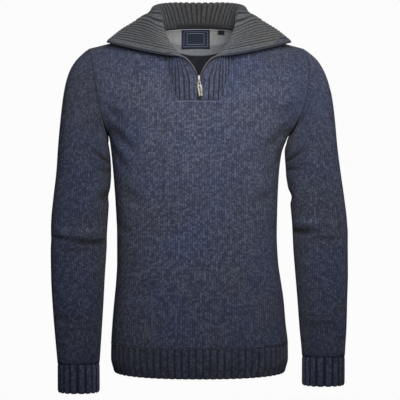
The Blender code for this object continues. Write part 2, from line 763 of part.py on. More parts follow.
def neck_edge(rib):
    """The panels' neck edge at a rib of the right half of the collar."""
    foot_y = NOTCH_LINE[0][1]
    if rib <= FLAT_RIBS:
        x = COLLAR_EDGE_X + (NOTCH_HALF_WIDTH - COLLAR_EDGE_X) * rib / FLAT_RIBS
        middle_y = TOPS["front"][len(TOPS["front"]) // 2][1]
        return vec(x, middle_y + (foot_y - middle_y) * max(0.0, 2 * x / NOTCH_HALF_WIDTH - 1), NOTCH_Z)
    if rib <= SIDE_RIBS:
        return run_along(NOTCH_LINE, (rib - FLAT_RIBS) / (SIDE_RIBS - FLAT_RIBS))
    return run_along(BACK_LINE, (rib - SIDE_RIBS) / (COLLAR_RIBS - SIDE_RIBS))


def curve(start, start_handle, end_handle, end, part):
    """A point of a cubic Bezier curve."""
    rest = 1 - part
    return (start * rest ** 3 + 3 * start_handle * rest * rest * part
            + 3 * end_handle * rest * part * part + end * part ** 3)


def table_point(row, names=("x", "y", "z")):
    return vec(*(row[name] for name in names))


def collar_rib(rib):
    """The collar's middle surface along one rib of its right half, from the seam to the free edge."""
    low, high = max(rib - 0.3, 0.0), min(rib + 0.3, float(COLLAR_RIBS))
    along = unit(neck_edge(high) - neck_edge(low))
    edge = neck_edge(rib)
    roll_row, edge_row = roll_sections.at(rib), edge_sections.at(rib)
    roll, free = table_point(roll_row), table_point(edge_row)
    lead = table_point(roll_row, ("lead_x", "lead_y", "lead_z"))
    lead_out = table_point(edge_row, ("lead_x", "lead_y", "lead_z"))
    side_share = min(1.0, rib / SIDE_RIBS)
    chest_lean = CHEST_LEAN * hump((rib - (FLAT_RIBS + SIDE_RIBS) / 2) / 5)
    rise = unit(unit(roll - edge) * side_share + vec(0, -0.05, 1) * (1 - side_share)
                + vec(0, chest_lean, 0.4))
    outward = unit(np.cross(along, rise))
    back_share = min(1.0, max(0.0, (rib - FLAT_RIBS) / (SIDE_RIBS - FLAT_RIBS)))
    into_neck = -outward * back_share + vec(-0.6 * min(1, rib / FLAT_RIBS), 0, 1) * (1 - back_share)
    start = edge + unit(into_neck) * COLLAR_SEAM - outward * (COLLAR_CLOTH + SEAM_GAP / 2)
    straight = FOOT_SHARE[0] + (FOOT_SHARE[1] - FOOT_SHARE[0]) * side_share
    foot = start + rise * np.linalg.norm(roll - start) * straight
    height = np.linalg.norm(roll - foot)
    before_roll = unit(lead) * math.sqrt(0.5 * height * ROLL_RADIUS)
    points = [start, foot]
    points += [curve(foot, foot + rise * height * 0.3, roll - before_roll, roll, step)
               for step in STAND_STEPS]
    points += [curve(roll, roll + lead, free - lead_out, free, step) for step in FALL_STEPS]
    return points


def collar_grid(places):
    """Middle surface and outward directions of the whole collar. Places run from the left front
    edge, over the middle of the back, to the right one; the rows run from the seam to the free edge."""
    ribs = []
    for place in places:
        sign = -1 if place <= COLLAR_RIBS else 1
        ribs.append([point * vec(sign, 1, 1) for point in collar_rib(min(place, 2 * COLLAR_RIBS - place))])
    points = np.array(ribs).transpose(1, 0, 2)
    outward = facet_normals(points)
    if outward[0, 1, 1] > 0:
        outward = -outward
    return points, outward


def add_collar_layer(name, layer, material):
    """layer is 1 for the outer layer and -1 for the inner one."""
    places = [step / 2 for step in range(4 * COLLAR_RIBS + 1)]
    grooves = np.array([groove_share(place) for place in places])[None, :, None]
    grooves[:, [1, -2]] = FIRST_GROOVE
    points, outward = collar_grid(places)
    ribbed = points + outward * layer * (SEAM_GAP / 2 + COLLAR_CLOTH - COLLAR_GROOVE * grooves)
    plain_places = sorted([float(rib) for rib in range(2 * COLLAR_RIBS + 1)]
                          + [*TIGHT_RIBS] + [2 * COLLAR_RIBS - rib for rib in TIGHT_RIBS])
    points, outward = collar_grid(plain_places)
    plain = points + outward * layer * SEAM_GAP / 2
    add_wall(name, ribbed, plain, material, outer_at=places, inner_at=plain_places, guide=points)


# ---------------------------------------------------------------- zip
def add_tape(side, material):
    """A flat strip with the coil, standing out from the collar's front edge."""
    sign = -1 if side == "left" else 1
    edge, beside = np.array(collar_rib(0.0)), np.array(collar_rib(0.5))
    along = unit(np.gradient(edge, axis=0))
    out = edge - beside
    out = unit(out - (out * along).sum(axis=1, keepdims=True) * along)
    out[:2] = vec(-1, 0, 0)
    thick = unit(np.cross(along, out)) * TAPE_THICKNESS / 2
    gap = np.full((len(edge), 1), SEAM_GAP)
    gap[2:2 + len(STAND_STEPS)] = TAPE_TURN_GAP
    near, far = edge + out * gap, edge + out * (COLLAR_EDGE_X - TAPE_SLIT)
    mirror = vec(sign, 1, 1)
    front = np.stack((near + thick, far + thick), axis=1) * mirror
    back = np.stack((near - thick, far - thick), axis=1) * mirror
    add_wall("zip_tape_" + side, front, back, material)


def block_mesh(name, size, place):
    """A box by its size and middle in millimetres."""
    work = bmesh.new()
    for corner in bmesh.ops.create_cube(work, size=1.0)["verts"]:
        corner.co = [(corner.co[axis] * size[axis] + place[axis]) * MM for axis in range(3)]
    mesh = bpy.data.meshes.new(name)
    work.to_mesh(mesh)
    work.free()
    return mesh


def cut_or_join(piece, name, size, place, operation):
    """Joins a box to a piece, or cuts it out."""
    tool = bpy.data.objects.new(name, block_mesh(name, size, place))
    tools.objects.link(tool)
    tool.hide_render = True
    tool.display_type = "WIRE"
    change = piece.modifiers.new(name, "BOOLEAN")
    change.operation = operation
    change.object = tool


SLIDER_Y = float(collar_rib(0.0)[1][1])                       # the middle of the tapes at the slider
FRONT_PLATE_Y = SLIDER_Y - TAPE_THICKNESS / 2 - SEAM_GAP - PLATE / 2
BACK_PLATE_Y = SLIDER_Y + TAPE_THICKNESS / 2 + SEAM_GAP + PLATE / 2 + BACK_PLATE_GAP
BAIL_WINDOW_REACH = BAIL_REACH - BAIL_BAR
BAIL_Z = SLIDER_Z - SLIDER_LENGTH / 2 + BAIL_HEIGHT / 2     # the bail ends flush with the slider
AXIS_Y = FRONT_PLATE_Y - PLATE / 2 - BAIL_WINDOW_REACH + PIN_RADIUS + PIN_PLAY
AXIS_Z = BAIL_Z - BAIL_HEIGHT / 2 + BAIL_BAR + PIN_RADIUS + PIN_PLAY


def add_slider(material):
    """Front and back plates joined by a post above the tapes, with the bail on the front."""
    piece = add_object("zip_slider", block_mesh(
        "zip_slider", (2 * SLIDER_HALF_WIDTH, PLATE, SLIDER_LENGTH), (0, FRONT_PLATE_Y, SLIDER_Z)), material)
    middle_y = (FRONT_PLATE_Y + BACK_PLATE_Y) / 2
    top_z = SLIDER_Z + SLIDER_LENGTH / 2
    face_y = FRONT_PLATE_Y - PLATE / 2
    cut_or_join(piece, "slider_back_plate", (2 * SLIDER_HALF_WIDTH, PLATE, BACK_PLATE_LENGTH),
                (0, BACK_PLATE_Y, top_z - BACK_PLATE_LENGTH / 2), "UNION")
    cut_or_join(piece, "slider_post", (POST_WIDTH, BACK_PLATE_Y - FRONT_PLATE_Y, POST_HEIGHT),
                (0, middle_y, top_z - POST_HEIGHT / 2), "UNION")
    cut_or_join(piece, "slider_bail", (BAIL_WIDTH, BAIL_REACH + OVERLAP, BAIL_HEIGHT),
                (0, face_y - (BAIL_REACH - OVERLAP) / 2, BAIL_Z), "UNION")
    cut_or_join(piece, "bail_window", (BAIL_WIDTH + 1, BAIL_WINDOW_REACH, BAIL_HEIGHT - 2 * BAIL_BAR),
                (0, face_y - BAIL_WINDOW_REACH / 2, BAIL_Z), "DIFFERENCE")


def add_pull(material):
    """A flat tab hung by its top bar in the bail, with a long recess between two raised bars."""
    top = (EYE_WIDTH, 2 * PIN_RADIUS, 2 * PIN_RADIUS)
    piece = add_object("zip_pull", block_mesh("zip_pull", top, (0, 0, 0)), material)
    arm = (EYE_WIDTH - EYE_HOLE) / 2
    for name, side in (("pull_arm_left", -1), ("pull_arm_right", 1)):
        cut_or_join(piece, name, (arm, 2 * PIN_RADIUS, EYE_LENGTH),
                    (side * (EYE_HOLE + arm) / 2, 0, PIN_RADIUS - EYE_LENGTH / 2), "UNION")
    body_length = PULL_LENGTH - EYE_LENGTH + OVERLAP
    body_z = PIN_RADIUS - PULL_LENGTH + body_length / 2
    cut_or_join(piece, "pull_body", (PULL_WIDTH, PULL_THICKNESS, body_length), (0, 0, body_z), "UNION")
    cut_or_join(piece, "pull_recess",
                (RECESS_WIDTH, 2 * RECESS_DEPTH, body_length - 2 * RECESS_MARGIN),
                (0, -PULL_THICKNESS / 2, body_z), "DIFFERENCE")
    holder = bpy.data.objects.new("pull_axis", None)
    garment.objects.link(holder)
    holder.location = (0, AXIS_Y * MM, AXIS_Z * MM)
    holder.rotation_euler = (0, -PULL_LEAN, 0)
    for member in [piece, *(change.object for change in piece.modifiers)]:
        member.parent = holder


# ---------------------------------------------------------------- inside the back neck
def inner_back_point(x, drop, sink):
    """A point inside the back panel, read from the panel's own sections: x along its neck edge,
    drop below that edge, sink from its inner face."""
    points, inward = BACK_GRID
    column = float(np.interp(x, points[-1, :, 0], range(points.shape[1])))
    side_points = between(points.transpose(1, 0, 2), column)
    side_inward = between(inward.transpose(1, 0, 2), column)
    row = float(np.interp(side_points[-1, 2] - drop, side_points[:, 2], range(len(side_points))))
    return between(side_points, row) + between(side_inward, row) * (CLOTH + sink)


def add_patch(material):
    """The half-moon: widest at the neck seam, rounded at its foot."""
    across, down = 12, 8
    front, back = [], []
    for row in range(down + 1):
        line_front, line_back = [], []
        for column in range(across + 1):
            turn = math.pi * column / across
            x = -PATCH_HALF_WIDTH * math.cos(turn)
            foot = PATCH_END_DEPTH + (PATCH_DEPTH - PATCH_END_DEPTH) * math.sin(turn) ** PATCH_FOOT_POWER
            drop = PATCH_TOP + (foot - PATCH_TOP) * row / down
            line_back.append(inner_back_point(x, drop, PATCH_GAP))
            line_front.append(inner_back_point(x, drop, PATCH_GAP + PATCH_THICKNESS))
        front.append(line_front)
        back.append(line_back)
    add_wall("neck_patch", np.array(front), np.array(back), material)


def add_label(name, size, middle_x, top_drop, material):
    """A woven label on the patch, following its curve."""
    width, height, thickness = size
    sink = PATCH_GAP + PATCH_THICKNESS + LAYER_GAP
    rows, columns = 4, 6
    front, back = [], []
    for row in range(rows + 1):
        drop = top_drop + height * row / rows
        xs = [middle_x + width * (column / columns - 0.5) for column in range(columns + 1)]
        back.append([inner_back_point(x, drop, sink) for x in xs])
        front.append([inner_back_point(x, drop, sink + thickness) for x in xs])
    add_wall(name, np.array(front), np.array(back), material)


# ---------------------------------------------------------------- the garment
garment = bpy.data.collections.new("quarter_zip_sweater")
tools = bpy.data.collections.new("cutters")
for group in (garment, tools):
    bpy.context.scene.collection.children.link(group)

blue_knit = add_material("blue_marl_knit", (0.045, 0.062, 0.125), 0.9)
blue_rib = add_material("blue_marl_rib", (0.045, 0.062, 0.125), 0.9)
grey_rib = add_material("grey_rib", (0.105, 0.108, 0.112), 0.9)
grey_jersey = add_material("grey_jersey", (0.2, 0.2, 0.205), 0.85)
navy_weave = add_material("navy_label_weave", (0.012, 0.018, 0.04), 0.7)
zip_coil = add_material("zip_coil", (0.03, 0.033, 0.04), 0.6)
nickel = add_material("nickel", (0.75, 0.73, 0.68), 0.28, 1.0)

for face in ("front", "back"):
    add_panel(face, blue_knit)
    add_hem(face, blue_rib)
for side in ("left", "right"):
    add_sleeve(side, blue_knit)
    add_cuff(side, blue_rib)
    add_tape(side, zip_coil)
add_collar_layer("collar_outer", 1, blue_rib)
add_collar_layer("collar_inner", -1, grey_rib)
add_slider(nickel)
add_pull(nickel)
add_patch(grey_jersey)
add_label("label", LABEL_SIZE, LABEL_X, LABEL_DROP, navy_weave)
add_label("size_tab", SIZE_TAB, SIZE_TAB_X, SIZE_TAB_DROP, navy_weave)
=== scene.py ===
"""The looks of a quarter zip sweater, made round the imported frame.

Sizes are millimetres unless a name says otherwise, and meshes are made in metres. Left is -X.
The pieces follow in the order in which the sweater is put together.
"""
import json
import math

import bpy
import numpy as np
from mathutils import Matrix, Vector


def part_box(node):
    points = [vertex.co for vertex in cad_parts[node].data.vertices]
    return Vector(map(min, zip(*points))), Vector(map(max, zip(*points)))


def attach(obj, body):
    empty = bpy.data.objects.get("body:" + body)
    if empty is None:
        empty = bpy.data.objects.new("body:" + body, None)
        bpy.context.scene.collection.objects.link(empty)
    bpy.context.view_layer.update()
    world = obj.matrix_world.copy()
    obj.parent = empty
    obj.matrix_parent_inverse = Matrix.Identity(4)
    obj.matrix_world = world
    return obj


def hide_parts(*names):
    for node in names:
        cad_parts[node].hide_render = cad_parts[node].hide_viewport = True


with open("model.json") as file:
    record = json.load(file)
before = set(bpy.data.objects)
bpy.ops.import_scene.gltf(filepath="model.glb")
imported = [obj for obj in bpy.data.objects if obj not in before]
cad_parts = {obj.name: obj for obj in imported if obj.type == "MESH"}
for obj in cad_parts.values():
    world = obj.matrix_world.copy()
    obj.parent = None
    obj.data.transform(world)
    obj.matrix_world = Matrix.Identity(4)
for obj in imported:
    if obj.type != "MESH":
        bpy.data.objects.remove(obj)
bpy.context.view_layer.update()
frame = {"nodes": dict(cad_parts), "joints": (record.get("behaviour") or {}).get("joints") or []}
MM = 0.001

# ---------------------------------------------------------------- camera
# A long lens straight in front of the chest, level with the armpits and tipped slightly down.
bpy.ops.object.camera_add(location=(0.002, -2.8, -0.2))
camera = bpy.context.object
camera.data.sensor_width = 36.0
camera.data.lens = 129.2
camera_aim = Vector((0.002, 0.0, -0.3315))
camera.rotation_euler = (camera_aim - camera.location).to_track_quat("-Z", "Y").to_euler()
bpy.context.scene.camera = camera
bpy.context.scene.view_settings.view_transform = "Standard"

# ---------------------------------------------------------------- front and back panels
# Two panels of chunky stockinette in a marled wool yarn, knitted from the hem up, cut to the
# armholes and the V of the neck, and sewn together at the sides and shoulders.
CLOTH = 3.0
WALE = 4.7              # width of one column of stitches
COURSE = 3.7            # height of one row of stitches
MERGE_DISTANCE = 0.12   # points closer than this are one
HEM_LINE = -610.0
ARMPIT = -212.0

# Level sections of the body, as z, left, right, front and back.
TORSO = (
    (-664, -167.0, 169.0, 107, 107),
    (-640, -172.5, 174.5, 110, 110),
    (-610, -172.0, 174.0, 110, 109),
    (-573, -169.7, 169.7, 108, 107),
    (-527, -165.7, 165.7, 106, 103),
    (-495, -162.5, 161.0, 105, 98),
    (-450, -160.0, 154.5, 103, 92),
    (-400, -160.0, 152.0, 103, 88),
    (-340, -162.5, 153.0, 109, 92),
    (-277, -167.0, 156.0, 116, 101),
    (-240, -170.5, 161.0, 118, 104),
    (-212, -174.0, 171.0, 119, 106),
)
TORSO_POWER = 2.3       # 2 is an ellipse, and more is squarer

# The armhole seam: degrees from the shoulder tip to the armpit, then left, right, front, back, z.
ARMHOLE = (
    (0, -214, 203, 0, 0, -36),
    (30, -207, 208, 34, 34, -52),
    (60, -200, 209, 58, 62, -84),
    (90, -194, 206, 67, 72, -122),
    (120, -187, 196, 62, 66, -160),
    (150, -180, 183, 40, 43, -192),
    (180, -175, 172, 0, 0, -212),
)
NECK_HALF_WIDTH = 82.0
NECK_POINT_Z = -4.0
SHOULDER_SLOPE = 0.28
SHOULDER_PARTS = 5
NOTCH_HALF_WIDTH = 41.0
NOTCH_Z = -138.0
NOTCH_SIDE_STOPS = (1.0, 0.72, 0.45, 0.22, 0.08, 0.0)
BACK_NECK_DEPTH = 62.0
BACK_NECK_Z = 9.0
BACK_NECK_PARTS = 10
UPPER_HALF_WIDTH = 242.0
UPPER_POWER = 2.6
SHOULDER_ROUND = 1.7
FULL_DEPTH_RISE = 0.4   # share of the way up at which the chest has its full depth
SEAM_RISE = 0.25        # and at which the armhole seam is followed in full
SEAM_FADE = 1.5
FOLD_EDGE = 30.0        # folds run out over this depth at the side seams

# Soft folds on both sides: start x and z, end x and z, half width and depth.
PANEL_FOLDS = (
    (184, -176, 108, -250, 15, 7.5),
    (186, -205, 122, -292, 12, 5.0),
    (190, -138, 136, -186, 15, 5.0),
    (160, -300, 92, -348, 18, 4.5),
    (166, -372, 118, -402, 16, 3.0),
    (60, -470, 142, -520, 22, 2.5),
)


def smooth_table(rows):
    """Gives a function that reads a short table between its rows without overshooting."""
    data = np.array(sorted(rows), dtype=float)
    place, data = data[:, 0], data[:, 1:]
    rise = np.diff(data, axis=0) / np.diff(place)[:, None]
    slope = np.zeros_like(data)
    slope[0], slope[-1] = rise[0], rise[-1]
    same_way = rise[:-1] * rise[1:] > 0
    total = np.where(same_way, rise[:-1] + rise[1:], 1.0)
    slope[1:-1] = np.where(same_way, 2 * rise[:-1] * rise[1:] / total, 0.0)

    def read(wanted):
        wanted = np.clip(np.asarray(wanted, dtype=float), place[0], place[-1])
        row = np.clip(np.searchsorted(place, wanted, side="right") - 1, 0, len(place) - 2)
        width = (place[row + 1] - place[row])[..., None]
        t = (wanted - place[row])[..., None] / width
        ease = t * t * (3 - 2 * t)
        return (data[row] * (1 - ease) + data[row + 1] * ease
                + slope[row] * width * t * (1 - t) ** 2 - slope[row + 1] * width * t * t * (1 - t))

    return read


torso_at = smooth_table(TORSO)
armhole_at = smooth_table(ARMHOLE)


def join(*axes):
    """Points from their coordinates."""
    return np.stack(np.broadcast_arrays(*(np.asarray(axis, dtype=float) for axis in axes)), axis=-1)


def unit(vectors):
    return vectors / np.maximum(np.linalg.norm(vectors, axis=-1, keepdims=True), 1e-9)


def squared(value, power):
    """A sine or cosine bent towards a squarer section."""
    return np.sign(value) * np.abs(value) ** (2 / power)


def hump(value):
    """1 at 0, falling smoothly to 0 at 1 and -1."""
    return np.cos(np.minimum(np.abs(value), 1.0) * math.pi / 2) ** 2


def on_line(points, place):
    """Points of a line at places that count its points."""
    return join(*(np.interp(place, range(len(points)), axis) for axis in np.transpose(points)))


def run_length(points, axis=0):
    """The distance run along a grid's rows (axis 1) or columns (axis 0)."""
    steps = np.linalg.norm(np.diff(points, axis=axis), axis=-1)
    start = np.zeros_like(np.take(steps, [0], axis=axis))
    return np.concatenate((start, np.cumsum(steps, axis=axis)), axis=axis)


def torso_points(turn, z, face):
    """Points of the body; turn runs from 0 at the left side seam to pi at the right one."""
    left, right, front, back = np.moveaxis(torso_at(z), -1, 0)
    depth = -front if face == "front" else back
    return join((left + right) / 2 - (right - left) / 2 * squared(np.cos(turn), TORSO_POWER),
                depth * squared(np.sin(turn), TORSO_POWER), z)


def armhole_points(turn, side):
    """Points of the armhole seam; turn is 0 at the tip, 90 in front, 180 at the armpit."""
    turn = np.asarray(turn, dtype=float)
    left, right, front, back, z = np.moveaxis(armhole_at(np.minimum(turn, 360 - turn)), -1, 0)
    return join(left if side == "left" else right, np.where(turn <= 180, -front, back), z)


def shoulder_z(x):
    return NECK_POINT_Z + SHOULDER_SLOPE * (NECK_HALF_WIDTH - np.abs(x))


def rounding(drop):
    """How far the cloth has come forward, for a drop from 0 at the shoulder to 1 at the chest."""
    return (1 - (1 - np.clip(drop, 0, 1)) ** SHOULDER_ROUND) ** (1 / SHOULDER_ROUND)


def upper_depth(x, chest_depth):
    """The chest's depth carried up over the shoulders."""
    across = np.minimum(np.abs(x) / UPPER_HALF_WIDTH, 1.0)
    return chest_depth * (1 - across ** UPPER_POWER) ** (1 / UPPER_POWER)


def shoulder_stops(side):
    """From the shoulder tip to just before the neck point."""
    tip = armhole_points(0, side)
    neck_point = join(NECK_HALF_WIDTH * (-1 if side == "left" else 1), 0, NECK_POINT_Z)
    return [tip + (neck_point - tip) * part / SHOULDER_PARTS for part in range(SHOULDER_PARTS)]


def notch_side(sign):
    """From the neck point down to the corner of the V, on the chest's surface."""
    chest = torso_at(ARMPIT)[2]
    stops = []
    for stop in reversed(NOTCH_SIDE_STOPS):
        x = NECK_HALF_WIDTH + (NOTCH_HALF_WIDTH - NECK_HALF_WIDTH) * stop
        z = NECK_POINT_Z + (NOTCH_Z - NECK_POINT_Z) * stop
        top = shoulder_z(x)
        y = -upper_depth(x, chest) * rounding((top - z) / (top - ARMPIT)) if stop else 0.0
        stops.append(join(sign * x, y, z))
    return stops


def front_top():
    """The front's top edge, from the left shoulder tip over the V to the right one."""
    top = shoulder_z(0)
    middle_y = -torso_at(ARMPIT)[2] * rounding((top - NOTCH_Z) / (top - ARMPIT))
    foot = [join(x, middle_y, NOTCH_Z) for x in (-NOTCH_HALF_WIDTH / 2, 0, NOTCH_HALF_WIDTH / 2)]
    return np.array(shoulder_stops("left") + notch_side(-1) + foot + notch_side(1)[::-1]
                    + shoulder_stops("right")[::-1])


def back_top():
    """The back's top edge, from the left shoulder tip along the back neck to the right one."""
    turn = np.linspace(0, math.pi, BACK_NECK_PARTS + 1)
    neck = join(-NECK_HALF_WIDTH * np.cos(turn), BACK_NECK_DEPTH * np.sin(turn),
                NECK_POINT_Z + (BACK_NECK_Z - NECK_POINT_Z) * np.sin(turn))
    return np.array(shoulder_stops("left") + list(neck) + shoulder_stops("right")[::-1])


TOPS = {"front": front_top(), "back": back_top()}


def column_turns(top):
    """The turn round the body where each stop of the top edge has its foot."""
    left, right = torso_at(ARMPIT)[:2]
    across = np.clip(((left + right) / 2 - top[:, 0]) / ((right - left) / 2), -1, 1)
    turns = np.arccos(squared(across, 4 / TORSO_POWER))
    share = np.arange(SHOULDER_PARTS) / SHOULDER_PARTS
    turns[:SHOULDER_PARTS] = turns[SHOULDER_PARTS] * share
    turns[-SHOULDER_PARTS:] = (math.pi - (math.pi - turns[-1 - SHOULDER_PARTS]) * share)[::-1]
    return turns


def fold_depth(x, z):
    """How far the cloth sinks at a place, from the soft folds on both sides."""
    depth = 0.0
    for start_x, start_z, end_x, end_z, half_width, sink in PANEL_FOLDS:
        length = math.hypot(end_x - start_x, end_z - start_z)
        along_x, along_z = (end_x - start_x) / length, (end_z - start_z) / length
        off_x, off_z = np.abs(x) - start_x, z - start_z
        run = (off_x * along_x + off_z * along_z) / length
        across = off_x * along_z - off_z * along_x
        depth = depth + sink * hump(2 * run - 1) * hump(across / half_width)
    return depth


def upper_points(face, column, turn, rise):
    """Points of a panel above the armpits."""
    top_edge = TOPS[face]
    last = len(top_edge) - 1
    start = torso_points(turn, ARMPIT, face)
    end = on_line(top_edge, column)
    point = start + (end - start) * rise[..., None]
    nearness = np.maximum(0.0, 1 - np.minimum(column, last - column) / SHOULDER_PARTS)
    seam_turn = 180 * (1 - rise) if face == "front" else 180 + 180 * rise
    left = (column < last / 2)[..., None]
    seam = np.where(left, armhole_points(seam_turn, "left"), armhole_points(seam_turn, "right"))
    foot, tip = (np.where(left, armhole_points(at, "left"), armhole_points(at, "right"))
                 for at in (180, 0))
    straight = foot + (tip - foot) * rise[..., None]
    point += (seam - straight) * (1, 0, 1) * nearness[..., None] ** SEAM_FADE
    x, z = point[..., 0], point[..., 2]
    low = np.abs(start[..., 1])
    chest = abs(torso_points(math.pi / 2, ARMPIT, face)[1])
    depth = low + (upper_depth(x, chest) - low) * np.minimum(1.0, rise / FULL_DEPTH_RISE)
    if face == "front":
        top = shoulder_z(x)
        y = -depth * rounding((top - z) / (top - ARMPIT))
    else:
        y = end[..., 1] + (depth - end[..., 1]) * rounding((end[..., 2] - z) / (end[..., 2] - ARMPIT))
    kept = np.where(nearness > 0.999, 1.0, nearness ** 2 * np.minimum(1.0, rise / SEAM_RISE))
    point[..., 1] = y * (1 - kept) + seam[..., 1] * kept
    return point


def panel_points(face, column, rise):
    """Points of a panel: column counts the stops of its top edge, and rise is -1 at the hem line,
    0 at the armpits and 1 at the top edge."""
    column, rise = np.broadcast_arrays(column, rise)
    turns = column_turns(TOPS[face])
    turn = np.interp(column, range(len(turns)), turns)
    low = torso_points(turn, ARMPIT + (ARMPIT - HEM_LINE) * np.minimum(rise, 0), face)
    point = np.where((rise <= 0)[..., None], low, upper_points(face, column, turn, np.maximum(rise, 0)))
    sink = fold_depth(point[..., 0], point[..., 2]) * np.minimum(1, np.abs(point[..., 1]) / FOLD_EDGE)
    point[..., 1] += sink if face == "front" else -sink
    return point


def onto_wales(points, across, *values):
    """The same surface and values with their columns moved onto quarters of the wales: a seam cuts
    off those it meets. Gives the points, the columns' places and the values."""
    step = WALE / 4
    reach = math.ceil(np.abs(across).max() / step)
    places = np.arange(-reach, reach + 1) * step
    moved = [np.array([np.interp(places, line, row) for line, row in zip(across, grid)])
             for grid in (*np.moveaxis(points, -1, 0), *values)]
    return join(*moved[:3]), places, *moved[3:]


def read_all(collection, key, width=1):
    """One value, or a row of them, for each item of a mesh's collection."""
    values = np.zeros(len(collection) * width, dtype=np.float32)
    collection.foreach_get(key, values)
    return values if width == 1 else values.reshape(-1, width)


def add_attribute(mesh, name, values):
    made = mesh.attributes.new(name, "FLOAT", "POINT")
    made.data.foreach_set("value", values.ravel().astype(np.float32))


def finish_piece(piece, node=None, body="garment"):
    """Ties a piece to its body and hides the solid that it stands for."""
    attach(piece, body)
    if node:
        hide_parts(node)
    return piece


def add_cloth(name, points, wales, courses, relief, thickness, material, inside=None, shade=None):
    """A wall of cloth from a grid of points on its outer side: rows up and columns to the right,
    or both turned, as seen from outside. The relief raises or sinks that side alone, and points
    that lie on one another are merged first. The shade is painted shade that darkens the yarn."""
    rows, columns = points.shape[:2]
    bpy.ops.object.select_all(action="DESELECT")
    bpy.ops.mesh.primitive_grid_add(x_subdivisions=columns - 1, y_subdivisions=rows - 1, size=1)
    piece = bpy.context.object
    piece.name = piece.data.name = name
    mesh = piece.data
    mesh.vertices.foreach_set("co", (points * MM).ravel())
    corners = np.zeros(len(mesh.loops), dtype=np.int32)
    mesh.loops.foreach_get("vertex_index", corners)
    knit = join(wales, courses).reshape(-1, 2)[corners]
    mesh.uv_layers[0].data.foreach_set("uv", knit.ravel())
    relief = np.broadcast_to(relief, points.shape[:2])
    add_attribute(mesh, "lift", relief)
    if shade is not None:
        add_attribute(mesh, "shade", shade)
    bpy.ops.object.mode_set(mode="EDIT")
    bpy.ops.mesh.select_all(action="SELECT")
    bpy.ops.mesh.remove_doubles(threshold=MERGE_DISTANCE * MM)
    bpy.ops.object.mode_set(mode="OBJECT")
    mesh.update()
    normals = read_all(mesh.vertex_normals, "vector", 3)
    lifts = read_all(mesh.attributes["lift"].data, "value")
    wall = piece.modifiers.new("wall", "SOLIDIFY")
    wall.thickness = thickness * MM
    wall.offset = -1
    wall.material_offset = 1 if inside else 0
    mesh.materials.clear()
    mesh.materials.append(material)
    if inside:
        mesh.materials.append(inside)
    bpy.ops.object.modifier_apply(modifier=wall.name)
    places = read_all(mesh.vertices, "co", 3)
    places[:len(lifts)] += normals * lifts[:, None] * MM
    mesh.vertices.foreach_set("co", places.ravel())
    mesh.shade_smooth()
    mesh.update()
    return piece


def add_node(tree, kind, inputs, output=0, **settings):
    """Adds a shader node, sets or links its inputs, and gives one of its outputs."""
    made = tree.nodes.new("ShaderNode" + kind)
    for name, value in settings.items():
        setattr(made, name, value)
    for name, value in inputs.items():
        if isinstance(value, bpy.types.NodeSocket):
            tree.links.new(value, made.inputs[name])
        else:
            made.inputs[name].default_value = value
    return made.outputs[output]


def calc(tree, operation, first, second=0.0, third=0.0):
    return add_node(tree, "Math", {0: first, 1: second, 2: third}, operation=operation)


def add_ramp(tree, factor, *stops):
    """Colours between stops, each a place and a colour."""
    ramp = tree.nodes.new("ShaderNodeValToRGB")
    while len(ramp.color_ramp.elements) < len(stops):
        ramp.color_ramp.elements.new(0.5)
    for element, (place, colour) in zip(ramp.color_ramp.elements, stops):
        element.position = place
        element.color = (*colour, 1.0)
    tree.links.new(factor, ramp.inputs[0])
    return ramp.outputs[0]


def split_uv(tree):
    """The UV map's two counts, across and up."""
    uv = add_node(tree, "TexCoord", {}, "UV")
    return add_node(tree, "SeparateXYZ", {0: uv}).node.outputs[:2]


def add_noise(tree, scale, detail=2.0, roughness=0.5, place=None):
    """Noise on a piece's own coordinates, or on others that are given."""
    if place is None:
        place = add_node(tree, "TexCoord", {}, "Object")
    inputs = {"Vector": place, "Scale": scale, "Detail": detail, "Roughness": roughness}
    return add_node(tree, "TexNoise", inputs, "Fac")


def add_bump(tree, shader, height, strength, depth):
    bump = add_node(tree, "Bump", {"Height": height, "Strength": strength, "Distance": depth * MM}, "Normal")
    tree.links.new(bump, shader.inputs["Normal"])


def new_material(name, **constants):
    material = bpy.data.materials.new(name)
    material.use_nodes = True
    shader = material.node_tree.nodes["Principled BSDF"]
    for socket, value in constants.items():
        shader.inputs[socket.replace("_", " ")].default_value = value
    return material, material.node_tree, shader


LEG_SLANT = 0.8                     # how much higher a stitch's legs end than they start, in courses
LEG_ROUND = 0.7                     # less makes the legs fuller
PLY_SCALE, FIBRE_SCALE, CLOUD_SCALE = 1.3, 560.0, 9.0
SPECKLE_PART, PLY_PART, FIBRE_PART = 0.2, 0.08, 0.92
TONES = (0.28, 0.57, 0.92)          # the tones at which the wool is dark, middling and light
TINTS = ((0.36, (0.9, 0.96, 1.08)), (0.5, (1.0, 1.0, 1.0)), (0.64, (1.06, 1.04, 0.94)))
# Painted shade, as the light that is left to the wool, each as its growth and its start: by how far
# the cloth is lifted, by the place between a wale's middle and its edge, along a stitch and over both.
LIFT_LIGHT = (0.55, 1.12)
MIDDLE_LIGHT = (-3.0, 0.85)
LENGTH_LIGHT = (0.3, 0.7)
STITCH_LIGHT = (0.95, 0.25)
LEAST_LIGHT = 0.16


